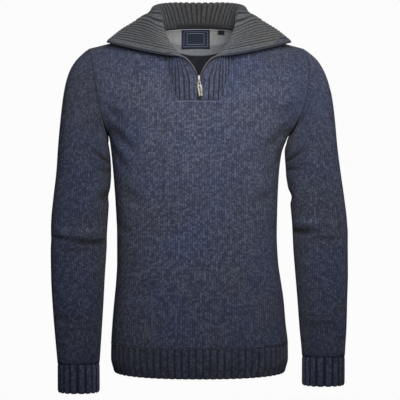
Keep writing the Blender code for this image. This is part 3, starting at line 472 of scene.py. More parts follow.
def knit_material(name, dark, middle, light, depth=0.9):
    """Stockinette: two slanted legs to a stitch, each a short run of marled yarn. The UV map counts wales
    across and courses up; painted shade darkens what lies sunk between the wales or ribs, the edges of
    each wale and the ends of each stitch. Large soft clouds lean to a cool and a warm tint."""
    material, tree, shader = new_material(name, Roughness=0.95, Sheen_Weight=0.12, Sheen_Roughness=0.4)
    shader.inputs["Sheen Tint"].default_value = (0.75, 0.8, 0.9, 1.0)
    wale, course = split_uv(tree)
    from_middle = calc(tree, "ABSOLUTE", calc(tree, "SUBTRACT", calc(tree, "FRACT", wale), 0.5))
    along = calc(tree, "SUBTRACT", course, calc(tree, "MULTIPLY", from_middle, 2 * LEG_SLANT))
    stitch = calc(tree, "FLOOR", along)
    column = calc(tree, "FLOOR", wale)
    across = calc(tree, "ABSOLUTE", calc(tree, "SINE", calc(tree, "MULTIPLY", wale, 2 * math.pi)))
    length = calc(tree, "SINE", calc(tree, "MULTIPLY", calc(tree, "FRACT", along), math.pi))
    height = calc(tree, "MULTIPLY", calc(tree, "POWER", across, LEG_ROUND),
                  calc(tree, "MULTIPLY_ADD", calc(tree, "POWER", length, LEG_ROUND), 0.6, 0.4))
    cell = add_node(tree, "CombineXYZ", {0: column, 1: stitch})
    speckle = add_node(tree, "TexWhiteNoise", {"Vector": cell}, "Value", noise_dimensions="3D")
    strand = add_node(tree, "CombineXYZ", {0: calc(tree, "MULTIPLY", column, 0.55), 1: stitch})
    ply = add_noise(tree, PLY_SCALE, roughness=0.7, place=strand)
    fibres = add_noise(tree, FIBRE_SCALE, detail=4.0, roughness=0.6)
    tone = calc(tree, "MULTIPLY", speckle, SPECKLE_PART)
    for yarn, part in ((ply, PLY_PART), (fibres, FIBRE_PART)):
        tone = calc(tree, "MULTIPLY_ADD", yarn, part, tone)
    colour = add_ramp(tree, tone, *zip(TONES, (dark, middle, light)))
    hue = add_ramp(tree, add_noise(tree, CLOUD_SCALE, detail=1.5), *TINTS)
    colour = add_node(tree, "VectorMath", {0: colour, 1: hue}, operation="MULTIPLY")
    # Painted shade: sunk places, and the shade attribute, take light from the wool.
    sunk = add_node(tree, "Attribute", {}, "Fac", attribute_name="lift")
    groove = calc(tree, "MAXIMUM", calc(tree, "MULTIPLY_ADD", sunk, *LIFT_LIGHT), LEAST_LIGHT)
    darker = add_node(tree, "Attribute", {}, "Fac", attribute_name="shade")
    groove = calc(tree, "MULTIPLY", groove, calc(tree, "SUBTRACT", 1.0, darker))
    # Painted shade at the edges of each wale and at the ends of each stitch.
    crown = calc(tree, "MAXIMUM", across, calc(tree, "MULTIPLY_ADD", from_middle, *MIDDLE_LIGHT))
    column_shade = calc(tree, "MULTIPLY", calc(tree, "POWER", crown, 1.1),
                       calc(tree, "MULTIPLY_ADD", length, *LENGTH_LIGHT))
    shade = calc(tree, "MULTIPLY", calc(tree, "MULTIPLY_ADD", column_shade, *STITCH_LIGHT), groove)
    colour = add_node(tree, "VectorMath", {0: colour, 3: shade}, operation="SCALE")
    tree.links.new(colour, shader.inputs["Base Color"])
    add_bump(tree, shader, calc(tree, "ADD", height, calc(tree, "MULTIPLY", fibres, 0.25)), 0.9, depth)
    return material


YARN_DARK = (0.007, 0.009, 0.02)
YARN_BLUE = (0.03, 0.037, 0.075)
YARN_LIGHT = (0.16, 0.18, 0.26)
blue_knit = knit_material("blue_marl_stockinette", YARN_DARK, YARN_BLUE, YARN_LIGHT)

# The walls' inner side: the purl side of the yarn, darker than the outside and painted near black as the
# shade inside the sweater.
blue_purl_painted_shade = knit_material("blue_marl_purl_side_painted_shade", (0.003, 0.003, 0.006), (0.007, 0.008, 0.014),
                          (0.02, 0.022, 0.03))

WALE_GROOVE = 1.15
WALE_MIDDLE = 0.35
FOLD_SHADE = 0.035       # painted shade in the folds, for each millimetre of depth and on the flanks, which the sleeves keep from the light
FLANK_SHADE = 0.4        # and on the flanks, which the sleeves keep from the light
FLANK_DEPTH = 105.0
DARKEST = 0.8            # no fold takes away more light than this
SEAM_SINK = 1.5
SEAM_WIDTH = 0.6
NOTCH_SINK = 0.3         # the V's sides lie nearly flush with the plastron
STOP_COLUMNS = 7         # columns from one stop of the top edge to the next
BODY_ROWS = 78
CHEST_ROWS = 37


def wale_relief(places):
    """How far each column sinks, for columns a quarter of a wale apart."""
    quarter = np.rint(places / WALE * 4).astype(int) % 4
    return np.choose(quarter, (-WALE_GROOVE, 0.0, -WALE_MIDDLE, 0.0))


def seam_relief(relief, places, across, last_row=-SEAM_SINK):
    """The relief with the cloth drawn in at the seams: along the last row, and where the seams cut
    off the outermost columns."""
    relief = relief * np.ones((len(across), 1))
    before, after = across[:, :1] + SEAM_WIDTH, across[:, -1:] - SEAM_WIDTH
    relief[(places[None, :] <= before) | (places[None, :] >= after)] = -SEAM_SINK
    relief[-1] = last_row
    return relief


def add_stockinette(name, node, grids, turned):
    """A wall of stockinette from its grids of points, places, courses, relief and shade, with their
    columns turned round where they run to the left as seen from outside."""
    if turned:
        grids = [grid[:, ::-1] for grid in grids]
    points, places, courses, relief, shade = grids
    piece = add_cloth(name, points, places / WALE, courses, relief, CLOTH, blue_knit, blue_purl_painted_shade, shade)
    finish_piece(piece, node)


def add_panel(face):
    last = len(TOPS[face]) - 1
    column = np.linspace(0, last, last * STOP_COLUMNS + 1)[None, :]
    rise = np.concatenate((np.linspace(-1, 0, BODY_ROWS), np.linspace(0, 1, CHEST_ROWS)[1:]))[:, None]
    points = panel_points(face, column, rise)
    armpit_row = BODY_ROWS - 1
    across = run_length(points, axis=1)
    across -= across[:, [across.shape[1] // 2]]
    across[armpit_row:] = across[armpit_row] + (points[armpit_row:, :, 0] - points[armpit_row, :, 0])
    across = np.maximum.accumulate(across, axis=1)
    cloth, places, up = onto_wales(points, across, run_length(points))
    x, y, z = np.moveaxis(cloth, -1, 0)
    flush = (z[-1] > NOTCH_Z + 3) & (np.abs(x[-1]) < NECK_HALF_WIDTH) & (face == "front")
    relief = seam_relief(wale_relief(places), places, across, np.where(flush, -NOTCH_SINK, -SEAM_SINK))
    # Painted shade in the folds and on the flanks under the sleeves.
    flank = hump(y / FLANK_DEPTH) * (z < ARMPIT + 20)
    shade = np.minimum(fold_depth(x, z) * FOLD_SHADE + FLANK_SHADE * flank, DARKEST)
    add_stockinette(face + "_knit", face, (cloth, places[None, :], up / COURSE, relief, shade),
                    face == "back")


add_panel("front")
add_panel("back")

# ---------------------------------------------------------------- hem ribs
# The waistband: one ribbed strip on each panel, knitted on at the hem line and seamed at the
# sides. Each rib has two wales on its top and one purl wale sunk between it and the next.
RIB_CLOTH = 3.2
RIB_GROOVE = 1.5
# Painted shade over the whole waistband.
HEM_SHADE = 0.24
CUFF_GROOVE = 2.3
HEM_END = -666.5
HEM_RIBS = 34
HEM_ROWS = 14
RIB_WALES = 3
RIB_COURSE = 3.4
RIB_STEPS = 12          # columns to a rib
GROOVE_SHARE = 0.16     # of a rib's width
LINE_DEPTH = 0.35       # the line between the two wales on a rib's top
LINE_SHARE = 0.05


def even_turns(places, face):
    """Turns round half of the hem that are evenly spaced along the cloth."""
    fine = np.linspace(0, math.pi, 721)
    run = run_length(torso_points(fine, HEM_LINE, face))
    return np.interp(places / places[-1] * run[-1], run, fine)


def rib_relief(places, groove):
    """How far the columns of a ribbed wall sink: deep between two ribs, a little on a rib's middle."""
    from_groove = np.abs(places % 1 - 0.5)
    from_middle = 0.5 - from_groove
    return (-groove * np.exp(-(from_groove / GROOVE_SHARE) ** 2)
            - LINE_DEPTH * np.exp(-(from_middle / LINE_SHARE) ** 2))


blue_rib = knit_material("blue_marl_rib", YARN_DARK, YARN_BLUE, YARN_LIGHT)


def add_rib_wall(name, node, points, places, run, groove, turned, shade=None):
    """A ribbed wall of marl, with its columns turned round where they run to the left outside."""
    relief, wales = rib_relief(places, groove), places * RIB_WALES
    if turned:
        points, relief, wales = points[:, ::-1], relief[::-1], wales[::-1]
    piece = add_cloth(name, points, wales, run / RIB_COURSE, relief, RIB_CLOTH, blue_rib, blue_purl_painted_shade, shade)
    finish_piece(piece, node)


def add_hem(face):
    places = np.arange(HEM_RIBS * RIB_STEPS + 1) / RIB_STEPS
    z = np.concatenate(([HEM_END], np.linspace(HEM_END + 2, HEM_LINE - 1.5, HEM_ROWS), [HEM_LINE + 0.5]))
    tuck = np.zeros(len(z))
    tuck[[0, -1]] = 1.2, 0.7
    points = torso_points(even_turns(places, face)[None, :], z[:, None], face)
    points *= join(1 - tuck / 150, 1 - tuck / 100, 1)[:, None]
    add_rib_wall("hem_" + face + "_knit", "hem_rib_" + face, points, places, z[:, None] - HEM_END, RIB_GROOVE,
                 face == "back", np.full(points.shape[:2], HEM_SHADE))


add_hem("front")
add_hem("back")

# ---------------------------------------------------------------- sleeves
# Two set-in sleeves of the same stockinette, knitted from the cuff up and closed by a seam along
# the underarm, which cuts off the outermost wales as the sleeve narrows.
# Sections from the cap down: outer z, outer left and right, inner z, inner left and right, half
# depth and middle y.
SLEEVE = (
    (-58, -238, 229, -223, -176.5, 170.0, 66, 2),
    (-76, -250, 241, -231, -175.0, 167.5, 65, 3),
    (-101, -259, 251, -239, -174.0, 167.0, 63, 4),
    (-132, -265, 259, -248, -173.0, 167.5, 61, 5),
    (-175, -270, 265, -257, -172.5, 168.5, 59, 6),
    (-225, -275, 270, -267, -172.0, 169.5, 57, 8),
    (-277, -279, 277, -283, -172.0, 170.5, 55, 10),
    (-325, -285, 284, -325, -175.5, 177.0, 54, 12),
    (-372, -290, 290, -372, -179.0, 182.0, 52, 14),
    (-386, -290.5, 291, -386, -180.0, 183.0, 51, 14),
    (-398, -290.5, 292, -398, -180.7, 183.6, 50, 14),
    (-407, -290, 292, -407, -181.0, 184.0, 49.5, 13),
    (-416, -290.5, 292, -416, -181.0, 184.4, 49, 13),
    (-430, -291, 292, -430, -181.5, 185.0, 48, 12),
    (-480, -290, 292, -480, -184.5, 188.5, 44, 6),
    (-535, -286.5, 290, -535, -187.0, 192.5, 39, -3),
    (-590, -281.5, 288, -590, -190.0, 196.0, 33, -12),
    (-633, -277, 285, -632, -192.5, 199.5, 29, -19),
    (-648, -275.5, 284, -647, -193.5, 200.5, 28, -21),
)
SLEEVE_POWER = 2.2
CAP_FADE = (1.0, 0.85, 0.65, 0.4, 0.2)          # how much of the armhole's shape the cap keeps
UPPER_ARM_Z = -277.0
SLEEVE_REACH = {"left": 1.0, "right": 0.962}
SLEEVE_ROWS = 92
ELBOW = (240.0, 335.0, 32)      # down the sleeve: where rows lie closer, and how many more
# Painted shade in the creases for each millimetre of depth, and a painted highlight where a crease's depth is
# negative and the cloth bulges.
CREASE_SHADE = 0.1
INNER_SHADE = 0.38              # painted shade on the side that faces the body
INNER_REACH = 95.0              # degrees
DARKEST_CREASE = 0.88
# Painted shade over each whole sleeve, more on the left one.
SLEEVE_SHADE = {"left": 0.15, "right": 0.12}

# Creases: side, z, start and end of the turn, half height and depth.
SLEEVE_CREASES = (
    ("left", -406, 20, 112, 8, 3.5),
    ("left", -413, 62, 172, 8.5, 6.5),
    ("left", -393, 35, 150, 14, -3.5),
    ("left", -386, 200, 330, 12, 5.0),
    ("left", -428, 40, 130, 10, 2.5),
    ("left", -325, 115, 205, 18, 4.5),
    ("left", -222, 95, 178, 13, 5.5),
    ("left", -268, 110, 185, 12, 3.5),
    ("left", -232, 190, 265, 14, 5.0),
    ("left", -560, 20, 120, 16, 2.5),
    ("right", -393, 92, 180, 10, 6.0),
    ("right", -405, 50, 120, 9, 3.5),
    ("right", -374, 50, 165, 13, -3.0),
    ("right", -416, 205, 335, 12, 5.0),
    ("right", -325, 145, 235, 18, 4.5),
    ("right", -218, 95, 178, 13, 5.5),
    ("right", -262, 105, 185, 12, 3.5),
    ("right", -236, 190, 265, 14, 5.0),
    ("right", -575, 60, 150, 15, 2.5),
)


def crease_depth(side, z, turn):
    depth = np.zeros(np.broadcast(z, turn).shape)
    for crease_side, crease_z, start, end, half_height, sink in SLEEVE_CREASES:
        if crease_side == side:
            along = 2 * (turn - start) / (end - start) - 1
            depth += sink * hump(along) ** 0.5 * hump((z - crease_z) / half_height)
    return depth


def oval(outer, inner, half_depth, turn):
    """Points of the squared oval that runs from an outer to an inner point."""
    angle = np.radians(turn)[..., None]
    return ((outer + inner) / 2 + (outer - inner) / 2 * squared(np.cos(angle), SLEEVE_POWER)
            - np.asarray(half_depth)[..., None] * squared(np.sin(angle), SLEEVE_POWER) * (0, 1, 0))


def sleeve_ends(row, side):
    """The outer and inner point of a section; below the upper arm the sleeves' lengths differ."""
    reach = SLEEVE_REACH[side]
    outer_z, inner_z = (z if z > UPPER_ARM_Z - 8 else UPPER_ARM_Z + (z - UPPER_ARM_Z) * reach
                        for z in (row[0], row[3]))
    column = 1 if side == "left" else 2
    return join(row[column], row[7], outer_z), join(row[column + 3], row[7], inner_z)


def sleeve_points(side):
    """A sleeve's outer side, by rows from the armhole down and columns from the underarm round."""
    turn = np.linspace(-180, 180, 181) % 360
    seam = armhole_points(turn, side)
    tip, armpit = armhole_points(0, side), armhole_points(180, side)
    seam_oval = oval(tip, armpit, seam[:, 1].max(), turn)
    rows = [seam]
    for number, row in enumerate(SLEEVE):
        kept = CAP_FADE[number + 1] if number + 1 < len(CAP_FADE) else 0.0
        rows.append(oval(*sleeve_ends(row, side), row[6], turn) + (seam - seam_oval) * kept)
    rows = np.array(rows)
    down = run_length(rows).mean(axis=1)
    read = smooth_table([(place, *row.ravel()) for place, row in zip(down, rows)])
    stops = np.union1d(np.linspace(0, down[-1], SLEEVE_ROWS), np.linspace(*ELBOW))
    fine = read(stops).reshape(len(stops), len(turn), 3)
    middle = fine.mean(axis=1, keepdims=True)
    sink = crease_depth(side, middle[..., 2], turn[None, :])
    # Painted shade in the creases, on the side that faces the body and over the whole sleeve, with a painted
    # highlight on the bulges.
    shade = sink * CREASE_SHADE + INNER_SHADE * hump((turn - 180) / INNER_REACH) + SLEEVE_SHADE[side]
    return fine + unit(middle - fine) * (1, 1, 0) * sink[..., None], np.minimum(shade, DARKEST_CREASE)


def add_sleeve(side):
    points, shade = sleeve_points(side)
    across = run_length(points, axis=1)
    across -= across[:, [across.shape[1] // 2]]
    down = run_length(points)
    cloth, places, up, shade = onto_wales(points, across, down[-1] - down, shade)
    relief = seam_relief(wale_relief(places), places, across[::-1])[::-1]
    add_stockinette("sleeve_" + side + "_knit", "sleeve_" + side,
                    (cloth, places[None, :], up / COURSE, relief, shade), side == "left")


add_sleeve("left")
add_sleeve("right")

# ---------------------------------------------------------------- cuffs
# Ribbed cuffs, one tube each, knitted on at the sleeve's end and drawn in a little at their own.
CUFF_LENGTH = 57.0
CUFF_RIBS = 18
CUFF_ROWS = 17
CUFF_DRAW = ((0.0, 0.975), (0.03, 0.985), (0.12, 1.0), (0.9, 1.0), (0.97, 0.985), (1.0, 0.95))
cuff_draw_at = smooth_table(CUFF_DRAW)


def add_cuff(side):
    outer, inner = sleeve_ends(SLEEVE[-1], side)
    half_depth, middle = SLEEVE[-1][6], (outer + inner) / 2
    part = np.concatenate(([0.0], np.linspace(0.02, 0.98, CUFF_ROWS), [1.0]))[:, None]
    draw = cuff_draw_at(part[:, 0])[:, :1]
    places = np.arange(CUFF_RIBS * RIB_STEPS + 1) / RIB_STEPS
    turn = (360 * places / CUFF_RIBS)[None, :]
    level = np.array((1, 1, 0))
    ring = oval((outer - middle) * level, (inner - middle) * level, half_depth, turn)
    points = ring * draw[..., None] + middle * level
    points[..., 2] = outer[2] - CUFF_LENGTH * part
    add_rib_wall("cuff_" + side + "_knit", "cuff_" + side, points, places, CUFF_LENGTH * (1 - part),
                 CUFF_GROOVE, side == "left")


add_cuff("left")
add_cuff("right")

# ---------------------------------------------------------------- collar
# A wide ribbed collar with its plastron in one piece, doubled: blue outside and grey inside, the
# two layers turned in along the zip and linked to the neck edge. It stands, then falls open.
COLLAR_CLOTH = 2.8
COLLAR_GROOVE = 2.3
COLLAR_SEAM = 0.7
COLLAR_GAP = 0.15       # half the space between the two layers
COLLAR_RIBS = 20        # on each side, from the zip to the middle of the back
COLLAR_STEPS = 12       # columns to a rib
COLLAR_EDGE_X = 4.3
FLAT_RIBS = 4.0
SIDE_RIBS = 12.0

# The line where the collar turns over, by rib: place, and the handle that leads the rib across.
ROLL = (
    (0.0, 44.5, -98, -53, 30, 4, 3),
    (1.6, 48.5, -92, -46, 28, -1, 7),
    (3.2, 52.5, -85, -40, 25, -5, 9),
    (6.5, 60.5, -68, -28, 22, -7, 9),
    (8.7, 66.0, -50, -14, 20, -5, 7),
    (10.9, 73.5, -22, 5, 18, -1, 4),
    (12.8, 80.0, 13, 36, 17, 4, 0),
    (14.2, 84.0, 41, 47, 14, 9, 0),
    (16.0, 71.0, 66, 54, 9, 13, 0),
    (18.0, 40.0, 79, 57, 4, 16, 0),
    (20.0, 0.0, 83, 57, 0, 16, 0),
)
# The free edge, by rib: place, and the handle that leads the rib out to it.
EDGE = (
    (0.0, 175.4, -32, -24.6, 38, 17, 10),
    (2.5, 165.5, -18, -15.0, 36, 22, 6),
    (6.2, 149.5, 4, -0.5, 34, 28, 2),
    (8.4, 138.0, 20, 8.0, 30, 30, -2),
    (10.2, 127.0, 35, 16.0, 24, 26, -6),
    (12.4, 110.0, 62, 28.0, 15, 20, -10),
    (14.1, 96.0, 80, 27.0, 10, 12, -14),
    (16.0, 76.0, 95, 23.0, 6, 7, -18),
    (18.0, 41.0, 106, 18.0, 3, 3, -20),
    (20.0, 0.0, 110, 16.0, 0, 2, -20),
)
FOOT_SHARE = (0.42, 0.2)
CHEST_LEAN = 0.4
ROLL_RADIUS = 8.0
RIB_REACH = 0.3         # ribs to each side, over which the neck edge's direction is taken
ZIP_LEAN = 0.38         # how far the front edges lean apart right above the slider
FOOT_STEPS = np.linspace(0, 1, 6)
STAND_STEPS = np.linspace(0, 1, 12)[1:]
FALL_STEPS = np.linspace(0, 1, 31)[1:]
roll_at = smooth_table(ROLL)
edge_at = smooth_table(EDGE)
NOTCH_LINE = np.array(notch_side(1)[::-1])
BACK_LINE = back_top()[SHOULDER_PARTS + BACK_NECK_PARTS // 2:SHOULDER_PARTS + BACK_NECK_PARTS + 1][::-1]


def part_way(line, part):
    """The point at a share of a line's length."""
    run = run_length(line)
    return join(*(np.interp(part * run[-1], run, axis) for axis in line.T))


def neck_edge(rib):
    """The panels' neck edge at a rib of the right half of the collar."""
    if rib <= FLAT_RIBS:
        x = COLLAR_EDGE_X + (NOTCH_HALF_WIDTH - COLLAR_EDGE_X) * rib / FLAT_RIBS
        middle_y = front_top()[len(TOPS["front"]) // 2][1]
        lean = max(0.0, 2 * x / NOTCH_HALF_WIDTH - 1)
        return join(x, middle_y + (NOTCH_LINE[0][1] - middle_y) * lean, NOTCH_Z)
    if rib <= SIDE_RIBS:
        return part_way(NOTCH_LINE, (rib - FLAT_RIBS) / (SIDE_RIBS - FLAT_RIBS))
    return part_way(BACK_LINE, (rib - SIDE_RIBS) / (COLLAR_RIBS - SIDE_RIBS))


def bezier(start, start_handle, end_handle, end, part):
    part = part[:, None]
    rest = 1 - part
    return (start * rest ** 3 + 3 * start_handle * rest * rest * part
            + 3 * end_handle * rest * part * part + end * part ** 3)


def collar_rib(rib):
    """The collar's middle surface along one rib of its right half, from the seam to the free edge."""
    edge = neck_edge(rib)
    along = unit(neck_edge(min(rib + RIB_REACH, float(COLLAR_RIBS))) - neck_edge(max(rib - RIB_REACH, 0.0)))
    roll, lead = np.split(roll_at(rib), 2)
    free, lead_out = np.split(edge_at(rib), 2)
    side_share = min(1.0, rib / SIDE_RIBS)
    chest_lean = CHEST_LEAN * hump((rib - (FLAT_RIBS + SIDE_RIBS) / 2) / 5)
    rise = unit(unit(roll - edge) * side_share + join(0, -0.05, 1) * (1 - side_share)
                + join(0, chest_lean, 0.4))
    outward = unit(np.cross(along, rise))
    back_share = min(1.0, max(0.0, (rib - FLAT_RIBS) / (SIDE_RIBS - FLAT_RIBS)))
    into_neck = -outward * back_share + join(-0.6 * min(1, rib / FLAT_RIBS), 0, 1) * (1 - back_share)
    start = edge + unit(into_neck) * COLLAR_SEAM - outward * (COLLAR_CLOTH + COLLAR_GAP)
    straight = FOOT_SHARE[0] + (FOOT_SHARE[1] - FOOT_SHARE[0]) * side_share
    foot = start + rise * np.linalg.norm(roll - start) * straight
    height = np.linalg.norm(roll - foot)
    before_roll = unit(lead) * math.sqrt(0.5 * height * ROLL_RADIUS)
    open_lean = join(ZIP_LEAN * hump(rib / FLAT_RIBS), 0, 0)
    return np.concatenate((
        start + (foot - start) * FOOT_STEPS[:, None],
        bezier(foot, foot + unit(rise + open_lean) * height * 0.3, roll - before_roll, roll, STAND_STEPS),
        bezier(roll, roll + lead, free - lead_out, free, FALL_STEPS)))


def grid_normals(points):
    down, across = np.gradient(points, axis=0), np.gradient(points, axis=1)
    return unit(np.cross(across, down))


def collar_surface():
    """The whole collar's middle surface and outward directions: rows from the seam to the free
    edge, columns from the left front edge over the back to the right one."""
    half = [collar_rib(step / COLLAR_STEPS) for step in range(COLLAR_RIBS * COLLAR_STEPS + 1)]
    right = np.array(half).transpose(1, 0, 2)
    left = right * (-1, 1, 1)
    points = np.concatenate((left, right[:, -2::-1]), axis=1)
    outward = grid_normals(points)
    if outward[3, COLLAR_STEPS, 1] > 0:
        outward = -outward
    return points, outward


grey_rib = knit_material("grey_rib", (0.042, 0.042, 0.044), (0.095, 0.096, 0.1), (0.2, 0.205, 0.21))
collar_middle, collar_outward = collar_surface()


# Fine ribs fill the stand's back, where the wide ones would spread: how fast the ribs are counted.
RIB_RATE = ((0.0, 1.0), (11.0, 1.0), (14.0, 1.7), (20.0, 1.7))
rib_rate_at = smooth_table(RIB_RATE)
STAND_SHADE = (0.36, 0.28, 0.25)    # painted shade inside the stand, most at its foot and plain there, with more painted shade, before the ribs begin
FOOT_BAND = 11.0                    # and plain there, before the ribs begin
STAND_RIB = 11.0                    # the rib from which the collar counts as the back's stand
# Column of the tip and the step away from it, then how far the blue reaches along both edges.
TIP_WRAPS = ((0, 1, 14.0, 8.0), (-1, -1, 40.0, 22.0))
EDGE_BAND = 0.35                    # of a groove's depth, in the smooth band beside the zip
FOOT_HIDE = 1.6                     # the outer layer's foot goes in under the panels' edge
FOOT_SINK = 0.9                     # the inner layer's first course, drawn in by the neck seam


def knitted_ribs():
    """The number of ribs from the zip to each column, whole at the middle of the back."""
    half = np.arange(COLLAR_RIBS * COLLAR_STEPS + 1) / COLLAR_STEPS
    rate = rib_rate_at(half)[:, 0]
    count = np.concatenate(([0.0], np.cumsum((rate[1:] + rate[:-1]) / 2) / COLLAR_STEPS))
    late = np.clip((half - STAND_RIB) / (COLLAR_RIBS - STAND_RIB), 0, 1)
    count += late * (round(count[-1]) - count[-1])
    return np.concatenate((count, 2 * count[-1] - count[-2::-1]))


def wrap_tips(piece, points):
    """The blue layer wraps round the collar's tips onto the grey side, far on the right one."""
    mesh = piece.data
    mesh.materials.append(blue_rib)
    centres = read_all(mesh.polygons, "center", 3) / MM
    blue = np.zeros(len(centres), dtype=bool)
    for column, step, reach_down, reach_along in TIP_WRAPS:
        tip = points[-1, column]
        down = unit(points[-8, column] - tip)
        along = unit(points[-1, column + 2 * step * COLLAR_STEPS] - tip)
        off = centres - tip
        blue |= np.maximum(off @ down, 0) / reach_down + np.maximum(off @ along, 0) / reach_along < 1
    mesh.polygons.foreach_set("material_index", blue.astype(np.int32))


def add_collar_layer(node, layer, beyond, tucked, material):
    """layer is 1 for the outer layer and -1 for the inner one; beyond is how far it passes the
    free edge, and tucked how far its foot reaches under the panels."""
    places = knitted_ribs()
    points = collar_middle + collar_outward * layer * (COLLAR_GAP + COLLAR_CLOTH)
    points = np.concatenate(([points[0] + unit(points[0] - points[1]) * tucked], points))
    last_step = unit(points[-1] - points[-2])
    turn_in = -collar_outward[-1] * layer * COLLAR_CLOTH * 0.45
    points = np.concatenate((points, [points[-1] + last_step * beyond + turn_in]))
    relief = rib_relief(places, COLLAR_GROOVE)
    relief[:COLLAR_STEPS] *= EDGE_BAND
    relief[-COLLAR_STEPS:] *= EDGE_BAND
    relief = relief[None, :] * np.ones((len(points), 1))
    relief[-1] *= 0.5
    stand_share = np.clip(1 - np.arange(len(points)) / (len(FOOT_STEPS) + len(STAND_STEPS) + 4), 0, 1)
    rib = np.arange(len(places)) / COLLAR_STEPS
    toward_back = np.clip((np.minimum(rib, 2 * COLLAR_RIBS - rib) - STAND_RIB) / 3, 0, 1)
    up, wales = run_length(points) / RIB_COURSE, places * RIB_WALES
    if layer == 1:
        relief[0] = -FOOT_HIDE
        points, relief, up, wales = points[:, ::-1], relief[:, ::-1], up[:, ::-1], wales[::-1]
        return finish_piece(add_cloth(node + "_knit", points, wales, up, relief, COLLAR_CLOTH, material),
                            node)
    plain = np.clip(1.3 - run_length(points) / FOOT_BAND, 0, 1) * toward_back[None, :]
    relief *= 1 - 0.75 * plain
    relief[:3] = relief[:3] * 0.4 - FOOT_SINK
    # Painted shade inside the stand towards the back, most at its foot and in the plain band.
    shade = (STAND_SHADE[0] + STAND_SHADE[1] * stand_share[:, None]) * toward_back[None, :]
    shade += STAND_SHADE[2] * plain
    piece = add_cloth(node + "_knit", points, wales, up, relief, COLLAR_CLOTH, material, shade=shade)
    wrap_tips(piece, points)
    return finish_piece(piece, node)


# The inner layer is turned out along the zip: a soft grey roll that passes the tape in the
# opening and keeps back behind it where the zip is closed and where the collar has fallen open.
ROLL_NEAR = 0.2
ROLL_REACH = (3.9, 5.2, 0.6)        # past the edge: where it is closed, open, and on the fall
ROLL_HALF, ROLL_END_HALF = 1.4, 0.4
ROLL_CLOTH = 0.8
ROLL_BACK = 1.65                    # from the collar's middle surface to the roll's own middle
OPENING = 15.0                      # length over which the roll comes out above the slider
ROLL_COLUMNS = 12


def front_edge():
    """The collar's right front edge: its line, the way out past it and the way to its blue side."""
    edge, beside = collar_rib(0.0), collar_rib(0.5)
    along = unit(np.gradient(edge, axis=0))
    out = edge - beside
    out = unit(out - (out * along).sum(axis=1, keepdims=True) * along)
    out[:len(FOOT_STEPS)] = -1, 0, 0
    return edge, out, unit(np.cross(along, out))


def on_side(points, side):
    """Rows of points of the right side, or their mirror image for the left one."""
    return points if side == "right" else (points * (-1, 1, 1))[:, ::-1]


edge_line, edge_out, edge_front = front_edge()
edge_run = run_length(edge_line)


def add_roll(side):
    first_open, first_fall = len(FOOT_STEPS) - 1, len(FOOT_STEPS) + len(STAND_STEPS) - 1
    stops = (0, edge_run[first_open], edge_run[first_open] + OPENING, edge_run[first_fall] - OPENING / 2,
             edge_run[first_fall] + OPENING, edge_run[-1])
    closed, opened, fallen = ROLL_REACH
    reach = np.interp(edge_run, stops, (closed, closed, opened, opened, fallen, fallen))[:, None]
    half = ROLL_HALF * np.ones_like(reach)
    half[-1] = ROLL_END_HALF
    angle = np.linspace(0, 2 * math.pi, ROLL_COLUMNS + 1)[None, :]
    centre, wide = (reach + ROLL_NEAR) / 2, (reach - ROLL_NEAR) / 2
    points = (edge_line[:, None] + edge_out[:, None] * (centre + wide * np.cos(angle))[..., None]
              + edge_front[:, None] * (half * np.sin(angle) - ROLL_BACK)[..., None])
    wales = np.broadcast_to(angle / math.pi * 3, points.shape[:2])
    courses = np.broadcast_to(edge_run[:, None] / RIB_COURSE, points.shape[:2])
    piece = add_cloth("collar_roll_" + side, on_side(points, side), wales, courses, 0.0, ROLL_CLOTH,
                      grey_roll)
    return finish_piece(piece)


grey_roll = knit_material("grey_edge_roll", (0.05, 0.051, 0.053), (0.115, 0.117, 0.12), (0.2, 0.2, 0.205))
rolls = [add_roll(side) for side in ("left", "right")]
outer_collar = add_collar_layer("collar_outer", 1, 2.4, 3.4, blue_rib)
inner_collar = add_collar_layer("collar_inner", -1, 0.6, 3.0, grey_rib)

# ---------------------------------------------------------------- zip tapes and coil
# A coil zip of about 250 mm: two woven tapes sewn in between the collar's layers, each with a
# nylon coil wound along its edge. The coils are closed below the slider.
TAPE_THICKNESS = 1.2
TAPE_NEAR = 0.3
TAPE_FAR = 4.1
TAPE_COLUMNS = 6
TAPE_THREAD = 0.5
COIL_PITCH = 1.35
COIL_INSET = 0.85
COIL_TURN = (1.15, 0.5, 0.45)       # half sizes: across the tape, along it and out of it


def add_copies(name, shape, places, material):
    """Joins copies of a small shape, each set by its own matrix, and takes the shape away."""
    bpy.ops.object.select_all(action="DESELECT")
    for place in places:
        copy = shape.copy()
        copy.data = shape.data.copy()
        copy.data.transform(place)
        bpy.context.collection.objects.link(copy)
        copy.select_set(True)
    bpy.context.view_layer.objects.active = copy
    bpy.data.objects.remove(shape)
    bpy.ops.object.join()
    piece = bpy.context.object
    piece.name = piece.data.name = name
    piece.data.shade_smooth()
    piece.data.materials.clear()
    piece.data.materials.append(material)
    return piece


def small_ellipsoid(half_sizes, segments, rings):
    bpy.ops.object.select_all(action="DESELECT")
    bpy.ops.mesh.primitive_uv_sphere_add(segments=segments, ring_count=rings, radius=MM)
    shape = bpy.context.object
    shape.scale = half_sizes
    bpy.ops.object.transform_apply(location=False, rotation=False, scale=True)
    return shape


def set_along(line, outward, pitch, offset=0.5):
    """Matrices at even steps along a line: x runs along it and z points outward."""
    run = run_length(line)
    stops = np.arange(pitch * offset, run[-1], pitch)

    def read(data, at):
        return join(*(np.interp(at, run, axis) for axis in data.T))

    x = unit(read(line, stops + 0.2) - read(line, stops - 0.2))
    z = read(outward, stops)
    z = unit(z - (z * x).sum(axis=1, keepdims=True) * x)
    y = np.cross(z, x)
    return [Matrix([(*axis, 0.0) for axis in axes] + [(*place, 1.0)]).transposed()
            for *axes, place in zip(x, y, z, read(line, stops) * MM)]


